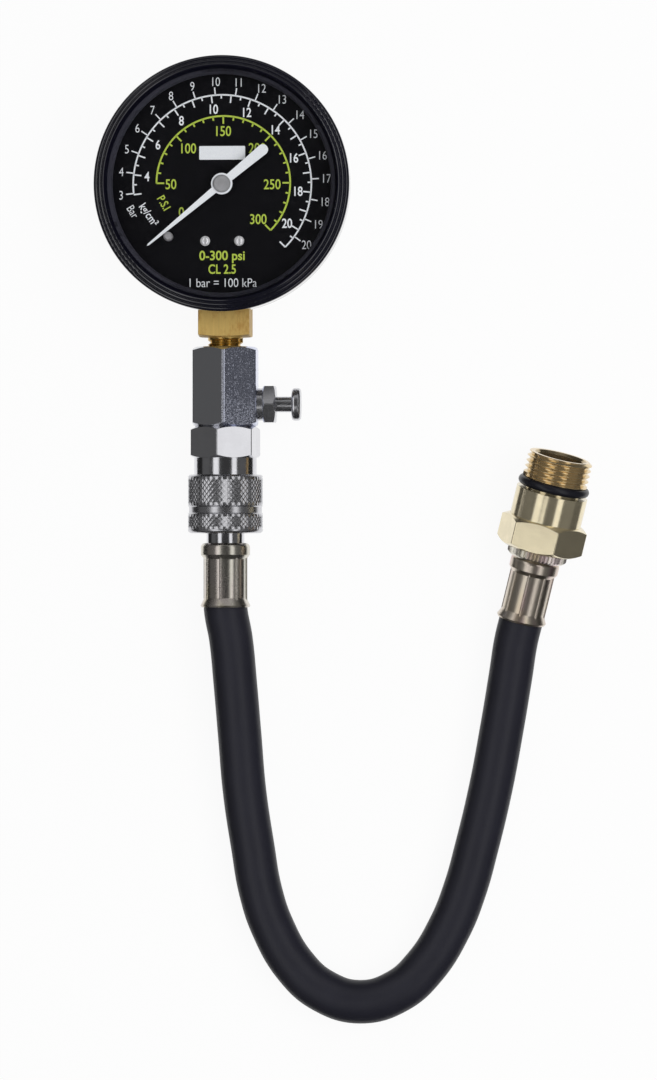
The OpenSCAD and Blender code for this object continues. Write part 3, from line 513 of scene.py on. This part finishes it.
def worn(node):
    """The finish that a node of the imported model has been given."""
    return frame["nodes"][node].data.materials[0]


def alone(piece=None):
    """Deselect everything, then select one piece, if any, and make it active."""
    bpy.ops.object.select_all(action="DESELECT")
    if piece is not None:
        piece.select_set(True)
        bpy.context.view_layer.objects.active = piece


def named(name):
    """The active object, renamed with its mesh."""
    piece = bpy.context.view_layer.objects.active
    piece.name = name
    piece.data.name = name
    return piece


def edit(piece):
    """Enter edit mode with all of the piece selected."""
    alone(piece)
    bpy.ops.object.mode_set(mode="EDIT")
    bpy.ops.mesh.select_mode(type="VERT")
    bpy.ops.mesh.select_all(action="SELECT")


def leave():
    """Back to object mode."""
    bpy.ops.object.mode_set(mode="OBJECT")


def pick(piece, kind, test):
    """In edit mode, select just the faces or just the edges of the piece that pass a test."""
    bpy.ops.mesh.select_mode(type=kind)
    bpy.ops.mesh.select_all(action="DESELECT")
    mesh = bmesh.from_edit_mesh(piece.data)
    for element in mesh.faces if kind == "FACE" else mesh.edges:
        element.select_set(test(element))
    bmesh.update_edit_mesh(piece.data)


def apply(piece, kind, **settings):
    """Add a modifier with its settings and apply it."""
    alone(piece)
    step = piece.modifiers.new(kind.title(), kind)
    for key, value in settings.items():
        setattr(step, key, value)
    bpy.ops.object.modifier_apply(modifier=step.name)


def joined(pieces, name):
    """Join pieces into one with a new name."""
    alone()
    for piece in pieces:
        piece.select_set(True)
    bpy.context.view_layer.objects.active = pieces[0]
    bpy.ops.object.join()
    return named(name)


def dress(piece, body, material, replaced=()):
    """Give a finished piece its material and body, and hide the nodes that it stands for."""
    wear(piece, material)
    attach(piece, body)
    if replaced:
        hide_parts(*replaced)


def copy_of(node, name):
    """A merged copy of a node's mesh as a new piece."""
    piece = bpy.data.objects.new(name, frame["nodes"][node].data.copy())
    bpy.context.scene.collection.objects.link(piece)
    edit(piece)
    bpy.ops.mesh.remove_doubles(threshold=SAME_POINT)
    leave()
    bpy.ops.mesh.customdata_custom_splitnormals_clear()
    return piece


def smooth(piece, degrees=30):
    """Smooth shading with sharp edges kept."""
    alone(piece)
    bpy.ops.object.shade_smooth_by_angle(angle=math.radians(degrees))
    return piece


def vertex(name, place):
    """A new piece of a single vertex, selected in edit mode."""
    alone()
    bpy.ops.mesh.primitive_plane_add(size=MM)
    piece = named(name)
    edit(piece)
    bpy.ops.mesh.merge(type="CENTER")
    bpy.ops.transform.translate(value=place)
    return piece


def loop_of(name, points):
    """A closed line through points in millimetres, extruded one after another from the first."""
    piece = vertex(name, Vector(points[0]) * MM)
    for before, after in zip(points, points[1:]):
        step = (Vector(after) - Vector(before)) * MM
        bpy.ops.mesh.extrude_vertices_move(TRANSFORM_OT_translate={"value": step})
    bpy.ops.mesh.select_all(action="SELECT")
    bpy.ops.mesh.edge_face_add()
    bpy.ops.mesh.delete(type="ONLY_FACE")
    leave()
    return piece


def helix_cutter(name, radius, depth, pitch, low, high):
    """A closed helical groove that a thread's cutting tool would sweep, along +Z."""
    flat = 0.12 * pitch
    wide = 0.485 * pitch
    root, crest = radius - depth, radius + 0.04
    cutter = loop_of(name, [
        (root, 0, low - flat / 2), (root, 0, low + flat / 2),
        (crest, 0, low + wide), (crest, 0, low - wide),
    ])
    turns = math.ceil((high - low) / pitch)
    apply(cutter, "SCREW", screw_offset=pitch * MM, iterations=turns, steps=TURN_STEPS,
          render_steps=TURN_STEPS, use_merge_vertices=False)
    edit(cutter)
    bpy.ops.mesh.remove_doubles(threshold=SAME_POINT)
    bpy.ops.mesh.select_all(action="DESELECT")
    bpy.ops.mesh.select_mode(type="EDGE")
    bpy.ops.mesh.select_non_manifold(extend=False)
    bpy.ops.mesh.edge_face_add()
    bpy.ops.mesh.select_all(action="SELECT")
    bpy.ops.mesh.normals_make_consistent(inside=False)
    leave()
    return cutter


def cut(piece, cutter):
    """Cut one piece out of another, throw the cutter away and clear the slivers it leaves."""
    apply(piece, "BOOLEAN", operation="DIFFERENCE", solver="EXACT", object=cutter)
    bpy.data.objects.remove(cutter)
    edit(piece)
    bpy.ops.mesh.dissolve_degenerate(threshold=0.002 * MM)
    leave()
    return piece


def looking(place, target):
    """The turn of a camera or lamp that looks from a place to a target, +Y up in its picture."""
    back = (place - target).normalized()
    right = Vector((0, 1, 0)).cross(back).normalized()
    return Matrix((right, back.cross(right), back)).transposed().to_quaternion()


class GAUGE_OT_camera(bpy.types.Operator):
    """Set the camera high over the table, a little to the right"""

    bl_idname = "gauge.camera"
    bl_label = "Camera"

    def execute(self, context):
        target = Vector((28.3, -96.67, 10.5)) * MM
        place = Vector((91.0, -96.67, 1248.5)) * MM
        alone()
        bpy.ops.object.camera_add(location=place)
        camera = named("camera")
        camera.rotation_mode = "QUATERNION"
        camera.rotation_quaternion = looking(place, target)
        camera.data.sensor_width = 36
        camera.data.lens = context.scene.gauge_stage.lens
        context.scene.camera = camera
        return {"FINISHED"}


class GAUGE_OT_hose(bpy.types.Operator):
    """Lay the rubber hose along its route between the two ferrules"""

    bl_idname = "gauge.hose"
    bl_label = "Hose"

    def execute(self, context):
        size = context.scene.gauge_hose
        alone()
        bpy.ops.curve.primitive_bezier_curve_add()
        hose = named("hose_tube")
        line = hose.data
        line.splines.clear()
        spline = line.splines.new("BEZIER")
        route = [Vector(place) * MM for place in HOSE_ROUTE]
        throat = 0.2
        route.insert(1, route[1].lerp(route[0], throat))
        route.insert(-1, route[-2].lerp(route[-1], throat))
        spline.bezier_points.add(len(route) - 1)
        for k, (point, place) in enumerate(zip(spline.bezier_points, route)):
            point.co = place
            point.handle_left_type = point.handle_right_type = "AUTO"
            point.radius = 1.0 if 1 < k < len(route) - 2 else size.squeezed / size.diameter
        line.dimensions = "3D"
        line.bevel_depth = size.diameter / 2
        line.bevel_resolution = 8
        line.resolution_u = 10
        line.use_fill_caps = True
        hose.location = (0, 0, 0)
        material = rubber("hose_rubber", tuple(size.rubber), 0.42)
        dress(hose, "hose", material, ["hose"])
        return {"FINISHED"}


class GAUGE_OT_finishes(bpy.types.Operator):
    """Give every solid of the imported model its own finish"""

    bl_idname = "gauge.finishes"
    bl_label = "Finishes"

    def execute(self, context):
        tone = context.scene.gauge_finish
        print_tone = context.scene.gauge_dial
        rubber_tone = tuple(context.scene.gauge_hose.rubber)
        nickel, brass, zinc = tuple(tone.nickel), tuple(tone.brass), tuple(tone.zinc)
        # The second colour is painted shade: the adapter's thread, darker and deeper than its
        # brass.
        bare, shaded_gold = (0.62, 0.63, 0.66), (0.81, 0.64, 0.38)
        up, along, across, end = (0, 0, 1), (0, 1, 0), (1, 0, 0), tuple(END_OUT)
        finishes = {
            plated("case_plate", (0.78, 0.78, 0.80), 0.1): ["gauge_case"],
            enamel("bezel_enamel", tuple(tone.enamel), 0.1, 0.15, 0.05, LACQUER_RADIUS): ["bezel"],
            glass("window_glass"): ["window"],
            enamel("spacer_enamel", (0.040, 0.040, 0.054), 0.5, 0.1): ["dial_spacer"],
            matt("dial_paint", (0.0020, 0.0020, 0.0036), 0.55): ["dial"],
            turned("screw_steel", (0.93, 0.93, 0.96), 0.2, up, 0.05, 0.08, 0.05, 0.5):
                ["dial_screws", "case_screws", "movement_screws"],
            ink("pointer_white", tuple(print_tone.white)): ["pointer"],
            turned("hub_metal", (0.52, 0.52, 0.54), 0.34, up, 0.8, metal=0.5):
                ["pointer_hub", "stop_pin"],
            plated("movement_brass", (0.66, 0.52, 0.25), 0.3):
                ["sector_gear", "link", "movement_back_plate", "movement_front_plate",
                 "movement_pillars"],
            plated("tube_bronze", (0.60, 0.42, 0.24), 0.28): ["bourdon_tube", "tube_tip"],
            turned("arbor_steel", bare, 0.2, up):
                ["pinion_arbor", "sector_arbor", "link_pins", "hairspring"],
            turned("spring_steel", bare, 0.24, along):
                ["release_spring", "sleeve_spring", "valve_core_spring", "retaining_ring"],
            drawn("stem_brass", tuple(tone.drawn_brass), 0.45): ["stem_socket"],
            rubbed("valve_plate", (0.72, 0.73, 0.77), 0.13): ["valve_body"],
            turned("release_plate", nickel, 0.18, across, 0.25, 0.12, 0.1):
                ["release_housing", "release_button"],
            turned("coupler_plate", nickel, 0.08, along, 0.2, 0.12, 0.07):
                ["coupler_body", "hose_plug"],
            plated("sleeve_plate", shade(nickel, 0.95), 0.23, 0.05, 0.03, 0.1):
                ["coupler_sleeve", "locking_balls"],
            rubber("seal_rubber", shade(rubber_tone, 0.55), 0.3, 0.2):
                ["release_seal", "coupler_seal", "fitting_o_ring", "adapter_o_ring", "hose"],
            passivated("ferrule_zinc", zinc, along, 0.3): ["plug_ferrule"],
            passivated("end_zinc", (0.74, 0.66, 0.56), end, 1.0, 0.27): ["end_ferrule"],
            passivated("collar_zinc", shade(zinc, 1.25), end, 0.7, 0.3): ["hose_end_fitting"],
            turned("adapter_brass", brass, 0.09, end, 0.2, 0.06, 0.1, 0.88,
                   (END_MOUTH, PLUG_THREAD[0], shaded_gold, BORE_RADIUS)):
                ["spark_plug_adapter", "valve_core_body", "valve_core_pin"],
        }
        for material, nodes in finishes.items():
            for node in nodes:
                wear(frame["nodes"][node], material)
        return {"FINISHED"}


def arc_band(name, radius, width, first, last):
    """A printed arc: a short line spun round the dial's middle, from one angle to another."""
    start = Vector((math.cos(first), math.sin(first), 0))
    band = vertex(name, start * (radius - width / 2))
    bpy.ops.mesh.extrude_vertices_move(TRANSFORM_OT_translate={"value": start * width})
    bpy.ops.mesh.select_all(action="SELECT")
    bpy.ops.mesh.spin(steps=120, angle=first - last, center=(0, 0, 0), axis=(0, 0, 1))
    leave()
    halfway = (first + last) / 2
    middle = Vector((math.cos(halfway), math.sin(halfway), 0)) * radius
    if min((v.co - middle).length for v in band.data.vertices) > 2 * width:
        raise RuntimeError("the arc was spun the wrong way")
    return band


def rectangle(name, place):
    """A flat rectangle: a plane one metre wide that a matrix sizes and puts in place."""
    alone()
    bpy.ops.mesh.primitive_plane_add(size=1)
    piece = named(name)
    piece.data.transform(place)
    return piece


def tick(name, inner, outer, width, angle):
    """One printed mark along a radius."""
    return rectangle(
        name, Matrix.Rotation(angle, 4, "Z") @ Matrix.Translation(((inner + outer) / 2, 0, 0))
        @ Matrix.Diagonal((outer - inner, width, 1, 1)))


def word(name, text, height, middle, weight, turn=0.0, narrow=0.8):
    """Printed characters as a mesh, centred on a point in millimetres."""
    alone()
    bpy.ops.object.text_add()
    letters = named(name)
    letters.data.body = text
    letters.data.size = height / FIGURE_HEIGHT * MM
    letters.data.align_x = "CENTER"
    letters.data.offset = weight * MM
    letters.data.resolution_u = 6
    bpy.ops.object.convert(target="MESH")
    letters = named(name)
    letters.data.transform(
        Matrix.Translation(Vector((*middle, 0)) * MM) @ Matrix.Rotation(turn, 4, "Z")
        @ Matrix.Diagonal((narrow, 1, 1, 1)) @ Matrix.Translation((0, -height / 2 * MM, 0)))
    return letters


def around(radius, degrees):
    """A point on the dial by radius and angle."""
    a = math.radians(degrees)
    return radius * math.cos(a), radius * math.sin(a)


def printed(pieces, name, material, move=(0, 0)):
    """Join marks, turn their faces up and lay them on the dial."""
    piece = joined(pieces, name)
    edit(piece)
    bpy.ops.mesh.remove_doubles(threshold=0.001 * MM)
    bpy.ops.mesh.normals_make_consistent(inside=False)
    leave()
    if sum(p.normal.z * p.area for p in piece.data.polygons) < 0:
        edit(piece)
        bpy.ops.mesh.flip_normals()
        leave()
    piece.data.transform(Matrix.Translation(Vector((*move, DIAL_TOP + PRINT_LIFT)) * MM))
    dress(piece, "gauge", material)


class GAUGE_OT_dial_print(bpy.types.Operator):
    """Print the three scales, their numbers and the plain plate on the dial"""

    bl_idname = "gauge.dial_print"
    bl_label = "Dial print"

    def execute(self, context):
        dial = context.scene.gauge_dial
        white, green = ink("white_ink", tuple(dial.white)), ink("green_ink", tuple(dial.green))
        line = dial.line
        bar_r, psi_r = dial.bar_radius, dial.psi_radius
        psi_step = dial.sweep / PSI_END
        end = dial.zero - dial.sweep
        long, short, short_psi = 2.1 * MM, 1.0 * MM, 1.05 * MM

        def angle(value, step):
            return dial.zero - value * step

        def beside(radius, value, step):
            return around(radius, math.degrees(angle(value, step)))

        marks = [arc_band("bar_arc", bar_r, line, end, angle(3, BAR_STEP))]
        for value in range(3, 21):
            marks.append(tick("bar_tick", bar_r, bar_r + long, line * 0.8, angle(value, BAR_STEP)))
        for half in range(6, 42):
            inner = bar_r - (long if half % 2 == 0 else short)
            marks.append(tick("kg_tick", inner, bar_r, line * 0.9, angle(half / 2, KG_STEP)))
        marks.append(tick("bar_end", bar_r - long, bar_r, line, end))
        printed(marks, "bar_marks", white)

        marks = [arc_band("psi_arc", psi_r, line * 1.08, end, angle(50, psi_step))]
        for value in range(50, PSI_END + 1, 10):
            inner = psi_r - (long if value % 50 == 0 else short_psi)
            marks.append(tick("psi_tick", inner, psi_r, line, angle(value, psi_step)))
        printed(marks, "psi_marks", green, (0.3, 0.3))

        thin = [word("bar_number", str(v), 2.5, beside(28.0, v, BAR_STEP), THIN)
                for v in range(3, 21)]
        thin.append(word("bar_unit", "Bar", 2.3, around(25.7, 196.6), THIN, math.radians(-59)))
        thin.append(word("rule", "1 bar = 100 kPa", 2.5, (-0.3, -26.7), THIN, narrow=0.86))
        printed(thin, "bar_numbers", white, (0.3, 0))

        bold = [word("kg_number", str(v), 2.6, beside(20.6, v, KG_STEP), BOLD)
                for v in range(4, 21, 2)]
        bold.append(word("kg_unit", "kg/cm²", 2.3, around(21.5, 202.3), MEDIUM, math.radians(-55)))
        printed(bold, "kg_numbers", white)

        places = {0: (13.4, 214), 50: (14.0, 179.5), 100: (13.6, 133.7), 150: (14.5, 89.5),
                  200: (13.7, 46), 250: (13.6, 0), 300: (13.6, -44)}
        psi = [word("psi_number", str(v), 2.8, around(*place), MEDIUM, narrow=0.82)
               for v, place in places.items()]
        psi.append(word("psi_unit", "P.S.I", 2.3, around(16.6, 197.6), MEDIUM, math.radians(-60)))
        psi.append(word("range", "0-300 psi", 2.6, (0, -19.3), HEAVY, narrow=0.95))
        psi.append(word("class", "CL 2.5", 2.6, (0, -23.0), HEAVY))
        printed(psi, "psi_numbers", green)

        plate = rectangle("plain_plate", Matrix.Translation((0, 8.5 * MM, 0))
                          @ Matrix.Diagonal((12.5 * MM, 3.7 * MM, 1, 1)))
        edit(plate)
        bpy.ops.mesh.bevel(offset=0.25 * MM, segments=3, affect="VERTICES")
        leave()
        printed([plate], "plain_panel", white)
        return {"FINISHED"}


class GAUGE_OT_adapter(bpy.types.Operator):
    """Cut the spark plug thread on the adapter"""

    bl_idname = "gauge.adapter"
    bl_label = "Adapter thread"

    def execute(self, context):
        size = context.scene.gauge_machining
        adapter = copy_of("spark_plug_adapter", "threaded_adapter")
        first, last = PLUG_THREAD
        tool = helix_cutter("plug_cutter", PLUG_THREAD_RADIUS, size.plug_depth / MM,
                            size.plug_pitch / MM, first + 0.3, last + 2.4)
        tool.data.transform(ON_END)
        smooth(cut(adapter, tool))
        dress(adapter, "hose", worn("spark_plug_adapter"), ["spark_plug_adapter"])
        return {"FINISHED"}


class GAUGE_OT_stem(bpy.types.Operator):
    """Cut the pipe thread on the stem"""

    bl_idname = "gauge.stem"
    bl_label = "Stem thread"

    def execute(self, context):
        size = context.scene.gauge_machining
        stem = copy_of("stem_socket", "threaded_stem")
        tool = helix_cutter("stem_cutter", STEM_THREAD_RADIUS, size.stem_depth / MM,
                            size.stem_pitch / MM, STEM_OUT + 0.9, STEM_OUT + 5)
        tool.data.transform(ON_STEM)
        smooth(cut(stem, tool))
        dress(stem, "gauge", worn("stem_socket"), ["stem_socket"])
        return {"FINISHED"}


def knurled_band(name, radius, depth, low, high, around_count, length):
    """A tube of small pyramids: rings are poked and dissolved to diamonds, then poked outward."""
    lip = 0.06
    rows = max(2, round((high - low - 2 * lip) / length))
    alone()
    bpy.ops.mesh.primitive_circle_add(
        vertices=around_count, radius=radius * MM, location=(0, 0, low * MM))
    band = named(name)
    bpy.ops.object.transform_apply(location=True, rotation=True, scale=True)
    root = 1 - depth / radius
    edit(band)
    bpy.ops.mesh.extrude_region_move(TRANSFORM_OT_translate={"value": (0, 0, lip * MM)})
    bpy.ops.transform.resize(value=(root, root, 1), center_override=(0, 0, 0))
    step = (high - low - 2 * lip) / rows * MM
    for _ in range(rows):
        bpy.ops.mesh.extrude_region_move(TRANSFORM_OT_translate={"value": (0, 0, step)})
    bpy.ops.mesh.extrude_region_move(TRANSFORM_OT_translate={"value": (0, 0, lip * MM)})
    bpy.ops.transform.resize(value=(1 / root, 1 / root, 1), center_override=(0, 0, 0))
    bpy.ops.mesh.select_all(action="SELECT")
    bpy.ops.mesh.normals_make_consistent(inside=False)
    wall = next(f for f in bmesh.from_edit_mesh(band.data).faces if abs(f.normal.z) < 0.1)
    if wall.normal.dot(wall.calc_center_median() * Vector((1, 1, 0))) < 0:
        bpy.ops.mesh.flip_normals()
    bottom, top = (low + 1.1 * lip) * MM, (high - 1.1 * lip) * MM
    corners = [(low + lip) * MM + k * step for k in range(rows + 1)]

    def inside(face):
        return bottom < face.calc_center_median().z < top

    def on_grid(v):
        return min(abs(v.co.z - z) for z in corners) < 0.02 * MM

    pick(band, "FACE", inside)
    bpy.ops.mesh.poke(offset=0.0)
    pick(band, "EDGE", lambda e: all(on_grid(v) for v in e.verts) and len(e.link_faces) == 2
         and all(inside(f) for f in e.link_faces))
    bpy.ops.mesh.dissolve_edges(use_verts=False, use_face_split=False)
    pick(band, "FACE", lambda f: len(f.verts) == 4 and inside(f))
    bpy.ops.mesh.poke(offset=depth * MM)
    leave()
    return band


class GAUGE_OT_sleeve(bpy.types.Operator):
    """Roll the diamond knurl into the two bands of the coupler's sleeve"""

    bl_idname = "gauge.sleeve"
    bl_label = "Knurled sleeve"

    def execute(self, context):
        size = context.scene.gauge_machining
        low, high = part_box("coupler_sleeve")
        radius, depth = (high[0] - low[0]) / 2 / MM, size.diamond_depth / MM
        shell = copy_of("coupler_sleeve", "sleeve_shell")
        axis_z = STEM_Z * MM

        def on_band(face):
            middle = face.calc_center_median()
            out = Vector((middle.x, 0, middle.z - axis_z))
            return out.length > 0.985 * radius * MM and abs(face.normal.y) < 0.02

        edit(shell)
        pick(shell, "FACE", on_band)
        found = [v.co.y for v in bmesh.from_edit_mesh(shell.data).verts if v.select]
        heights = sorted({round(-y / MM, 2) for y in found})
        bpy.ops.mesh.delete(type="FACE")
        leave()
        bands = []
        seam = 0.05
        for k, (low, high) in enumerate(zip(heights[::2], heights[1::2])):
            band = knurled_band("band_%d" % k, radius, depth, low + seam, high - seam,
                                size.diamonds, size.diamond_length / MM)
            band.data.transform(ON_STEM)
            bands.append(band)
        sleeve = joined([shell, *bands], "knurled_sleeve")
        edit(sleeve)
        for height in heights:
            pick(sleeve, "EDGE", lambda e: len(e.link_faces) == 1
                 and all(abs(-v.co.y / MM - height) < 3 * seam for v in e.verts))
            bpy.ops.mesh.bridge_edge_loops()
        bpy.ops.mesh.select_all(action="SELECT")
        bpy.ops.mesh.normals_make_consistent(inside=False)
        leave()
        smooth(sleeve, 20)
        dress(sleeve, "coupler_sleeve", worn("coupler_sleeve"), ["coupler_sleeve"])
        return {"FINISHED"}


class GAUGE_OT_springs(bpy.types.Operator):
    """Put a smooth copy of each coil spring in its place, on the body that holds it"""

    bl_idname = "gauge.springs"
    bl_label = "Springs"

    def execute(self, context):
        springs = {
            "release_spring": ("release_coil", "gauge", "release_push", Vector((1, 0, 0))),
            "sleeve_spring": ("sleeve_coil", "gauge", "sleeve_slide", Vector((0, -1, 0))),
            "valve_core_spring": ("core_coil", "hose", "core_pin_push", END_OUT),
        }
        joints = frame["record"]["behaviour"]["joints"]
        stroke = {joint["name"]: joint["range_m"][1] for joint in joints if "range_m" in joint}
        for node, (name, held, joint, out) in springs.items():
            coil = smooth(copy_of(node, name))
            along = [v.co.dot(out) for v in coil.data.vertices]
            foot, length = min(along), max(along) - min(along)
            dress(coil, held, worn(node), [node])
            1 - stroke[joint] / length
            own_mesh(coil)
        return {"FINISHED"}


class GAUGE_OT_stage(bpy.types.Operator):
    """Lay the pale floor and hang the lamps"""

    bl_idname = "gauge.stage"
    bl_label = "Stage"

    def execute(self, context):
        stage = context.scene.gauge_stage
        alone()
        bpy.ops.mesh.primitive_grid_add(x_subdivisions=8, y_subdivisions=8, size=8)
        floor = named("floor")
        s = finish("floor_paper")
        paper = s.add("ShaderNodeBsdfDiffuse", None, {"Color": (*stage.floor, 1)})
        white = s.add("ShaderNodeEmission", None, {"Color": WHITE, "Strength": 1.0})
        dark = s.add("ShaderNodeEmission", None, {"Color": WHITE, "Strength": 0.02})
        # Painted reflection: metal mirrors the floor as a white glow where its rays fall steeply on
        # it, and as near black where they skim it, instead of the lit paper.
        gloss = s.ray("Glossy")
        slant = s.add("ShaderNodeLayerWeight", None, {"Blend": 0.5}, out="Facing")
        steep = s.between(slant, 0.38, 0.46, 1.0, 0.0)
        paper = s.either(gloss * (1 - steep), paper, dark)
        plain = (s.ray("Camera") + gloss * steep + s.ray("Transmission")) * 0.93
        wear(floor, s.shown(s.either(plain, paper, white)))

        # Place and size in millimetres, brightness, and whether metal mirrors it and paint takes it
        lamps = {
            "strip_left": ((-355, -97, 610), (265, 1400), stage.strip_light, True, False),
            "strip_right": ((450, -97, 610), (240, 1400), stage.strip_light, True, True),
            "card": ((-130, -330, 640), (190, 200), stage.strip_light, True, False),
            "fill": ((600, -97, 1400), (1500, 1500), stage.fill_light, False, True),
        }
        middle = Vector((30, -97, 10)) * MM
        for name, (place, wide, bright, mirrored, soft) in lamps.items():
            alone()
            bpy.ops.object.light_add(type="AREA", location=Vector(place) * MM)
            lamp = named(name)
            lamp.data.shape = "RECTANGLE"
            lamp.data.size, lamp.data.size_y = (w * MM for w in wide)
            lamp.data.energy = bright * math.pi * lamp.data.size * lamp.data.size_y
            lamp.visible_glossy, lamp.visible_diffuse = mirrored, soft
            lamp.rotation_mode = "QUATERNION"
            lamp.rotation_quaternion = looking(lamp.location, middle)

        world = context.scene.world or bpy.data.worlds.new("room")
        context.scene.world = world
        s = Shader(world)
        toward = s.add("ShaderNodeTexCoord", out="Generated")
        north, up = s.part(toward, "Y"), s.part(toward, "Z")
        ends = s.add("ShaderNodeMath", {"operation": "ABSOLUTE"}, {0: north})
        walls = s.between(up, 0.45, 0.75, stage.walls, stage.room)
        window = s.between(north, 0.55, 0.9, 0.0, stage.window)
        mirrored = (walls * s.between(ends, 0.75, 0.95, 1.0, 0.35)
                    + window * s.between(up, 0.2, 0.4))
        level = s.ray("Camera") + s.ray("Diffuse") * 0.33 + s.ray("Glossy") * mirrored
        light = s.add("ShaderNodeBackground", None, {"Color": WHITE, "Strength": level})
        s.add("ShaderNodeOutputWorld", None, {"Surface": light})
        context.scene.view_settings.view_transform = "Standard"
        return {"FINISHED"}


class GAUGE_PT_panel(bpy.types.Panel):
    """Steps that dress the gauge."""

    bl_idname = "GAUGE_PT_panel"
    bl_label = "Gauge"
    bl_space_type = "VIEW_3D"
    bl_region_type = "UI"
    bl_category = "Gauge"

    def draw(self, context):
        for step in STEPS:
            self.layout.operator(step.bl_idname)
        for group in GROUPS:
            settings = getattr(context.scene, group)
            box = self.layout.box()
            for name in settings.bl_rna.properties.keys():
                if name not in ("rna_type", "name"):
                    box.prop(settings, name)


GROUPS = {
    "gauge_dial": DialSettings, "gauge_hose": HoseSettings, "gauge_machining": MachiningSettings,
    "gauge_finish": FinishSettings, "gauge_stage": StageSettings,
}
STEPS = (
    GAUGE_OT_camera, GAUGE_OT_finishes, GAUGE_OT_adapter, GAUGE_OT_springs, GAUGE_OT_hose,
    GAUGE_OT_dial_print, GAUGE_OT_stem, GAUGE_OT_sleeve, GAUGE_OT_stage,
)


def register():
    """Register the settings, the steps and the panel."""
    for kind in (*GROUPS.values(), *STEPS, GAUGE_PT_panel):
        bpy.utils.register_class(kind)
    for name, kind in GROUPS.items():
        setattr(bpy.types.Scene, name, PointerProperty(type=kind))


def unregister():
    """Take the settings, the steps and the panel away again."""
    for name in GROUPS:
        delattr(bpy.types.Scene, name)
    for kind in reversed((*GROUPS.values(), *STEPS, GAUGE_PT_panel)):
        bpy.utils.unregister_class(kind)


def main():
    """Dress the gauge step by step."""
    register()
    bpy.ops.gauge.camera()
    bpy.ops.gauge.finishes()
    bpy.ops.gauge.adapter()
    bpy.ops.gauge.springs()
    bpy.ops.gauge.hose()
    bpy.ops.gauge.dial_print()
    bpy.ops.gauge.stem()
    bpy.ops.gauge.sleeve()
    bpy.ops.gauge.stage()


if __name__ == "__main__":
    main()
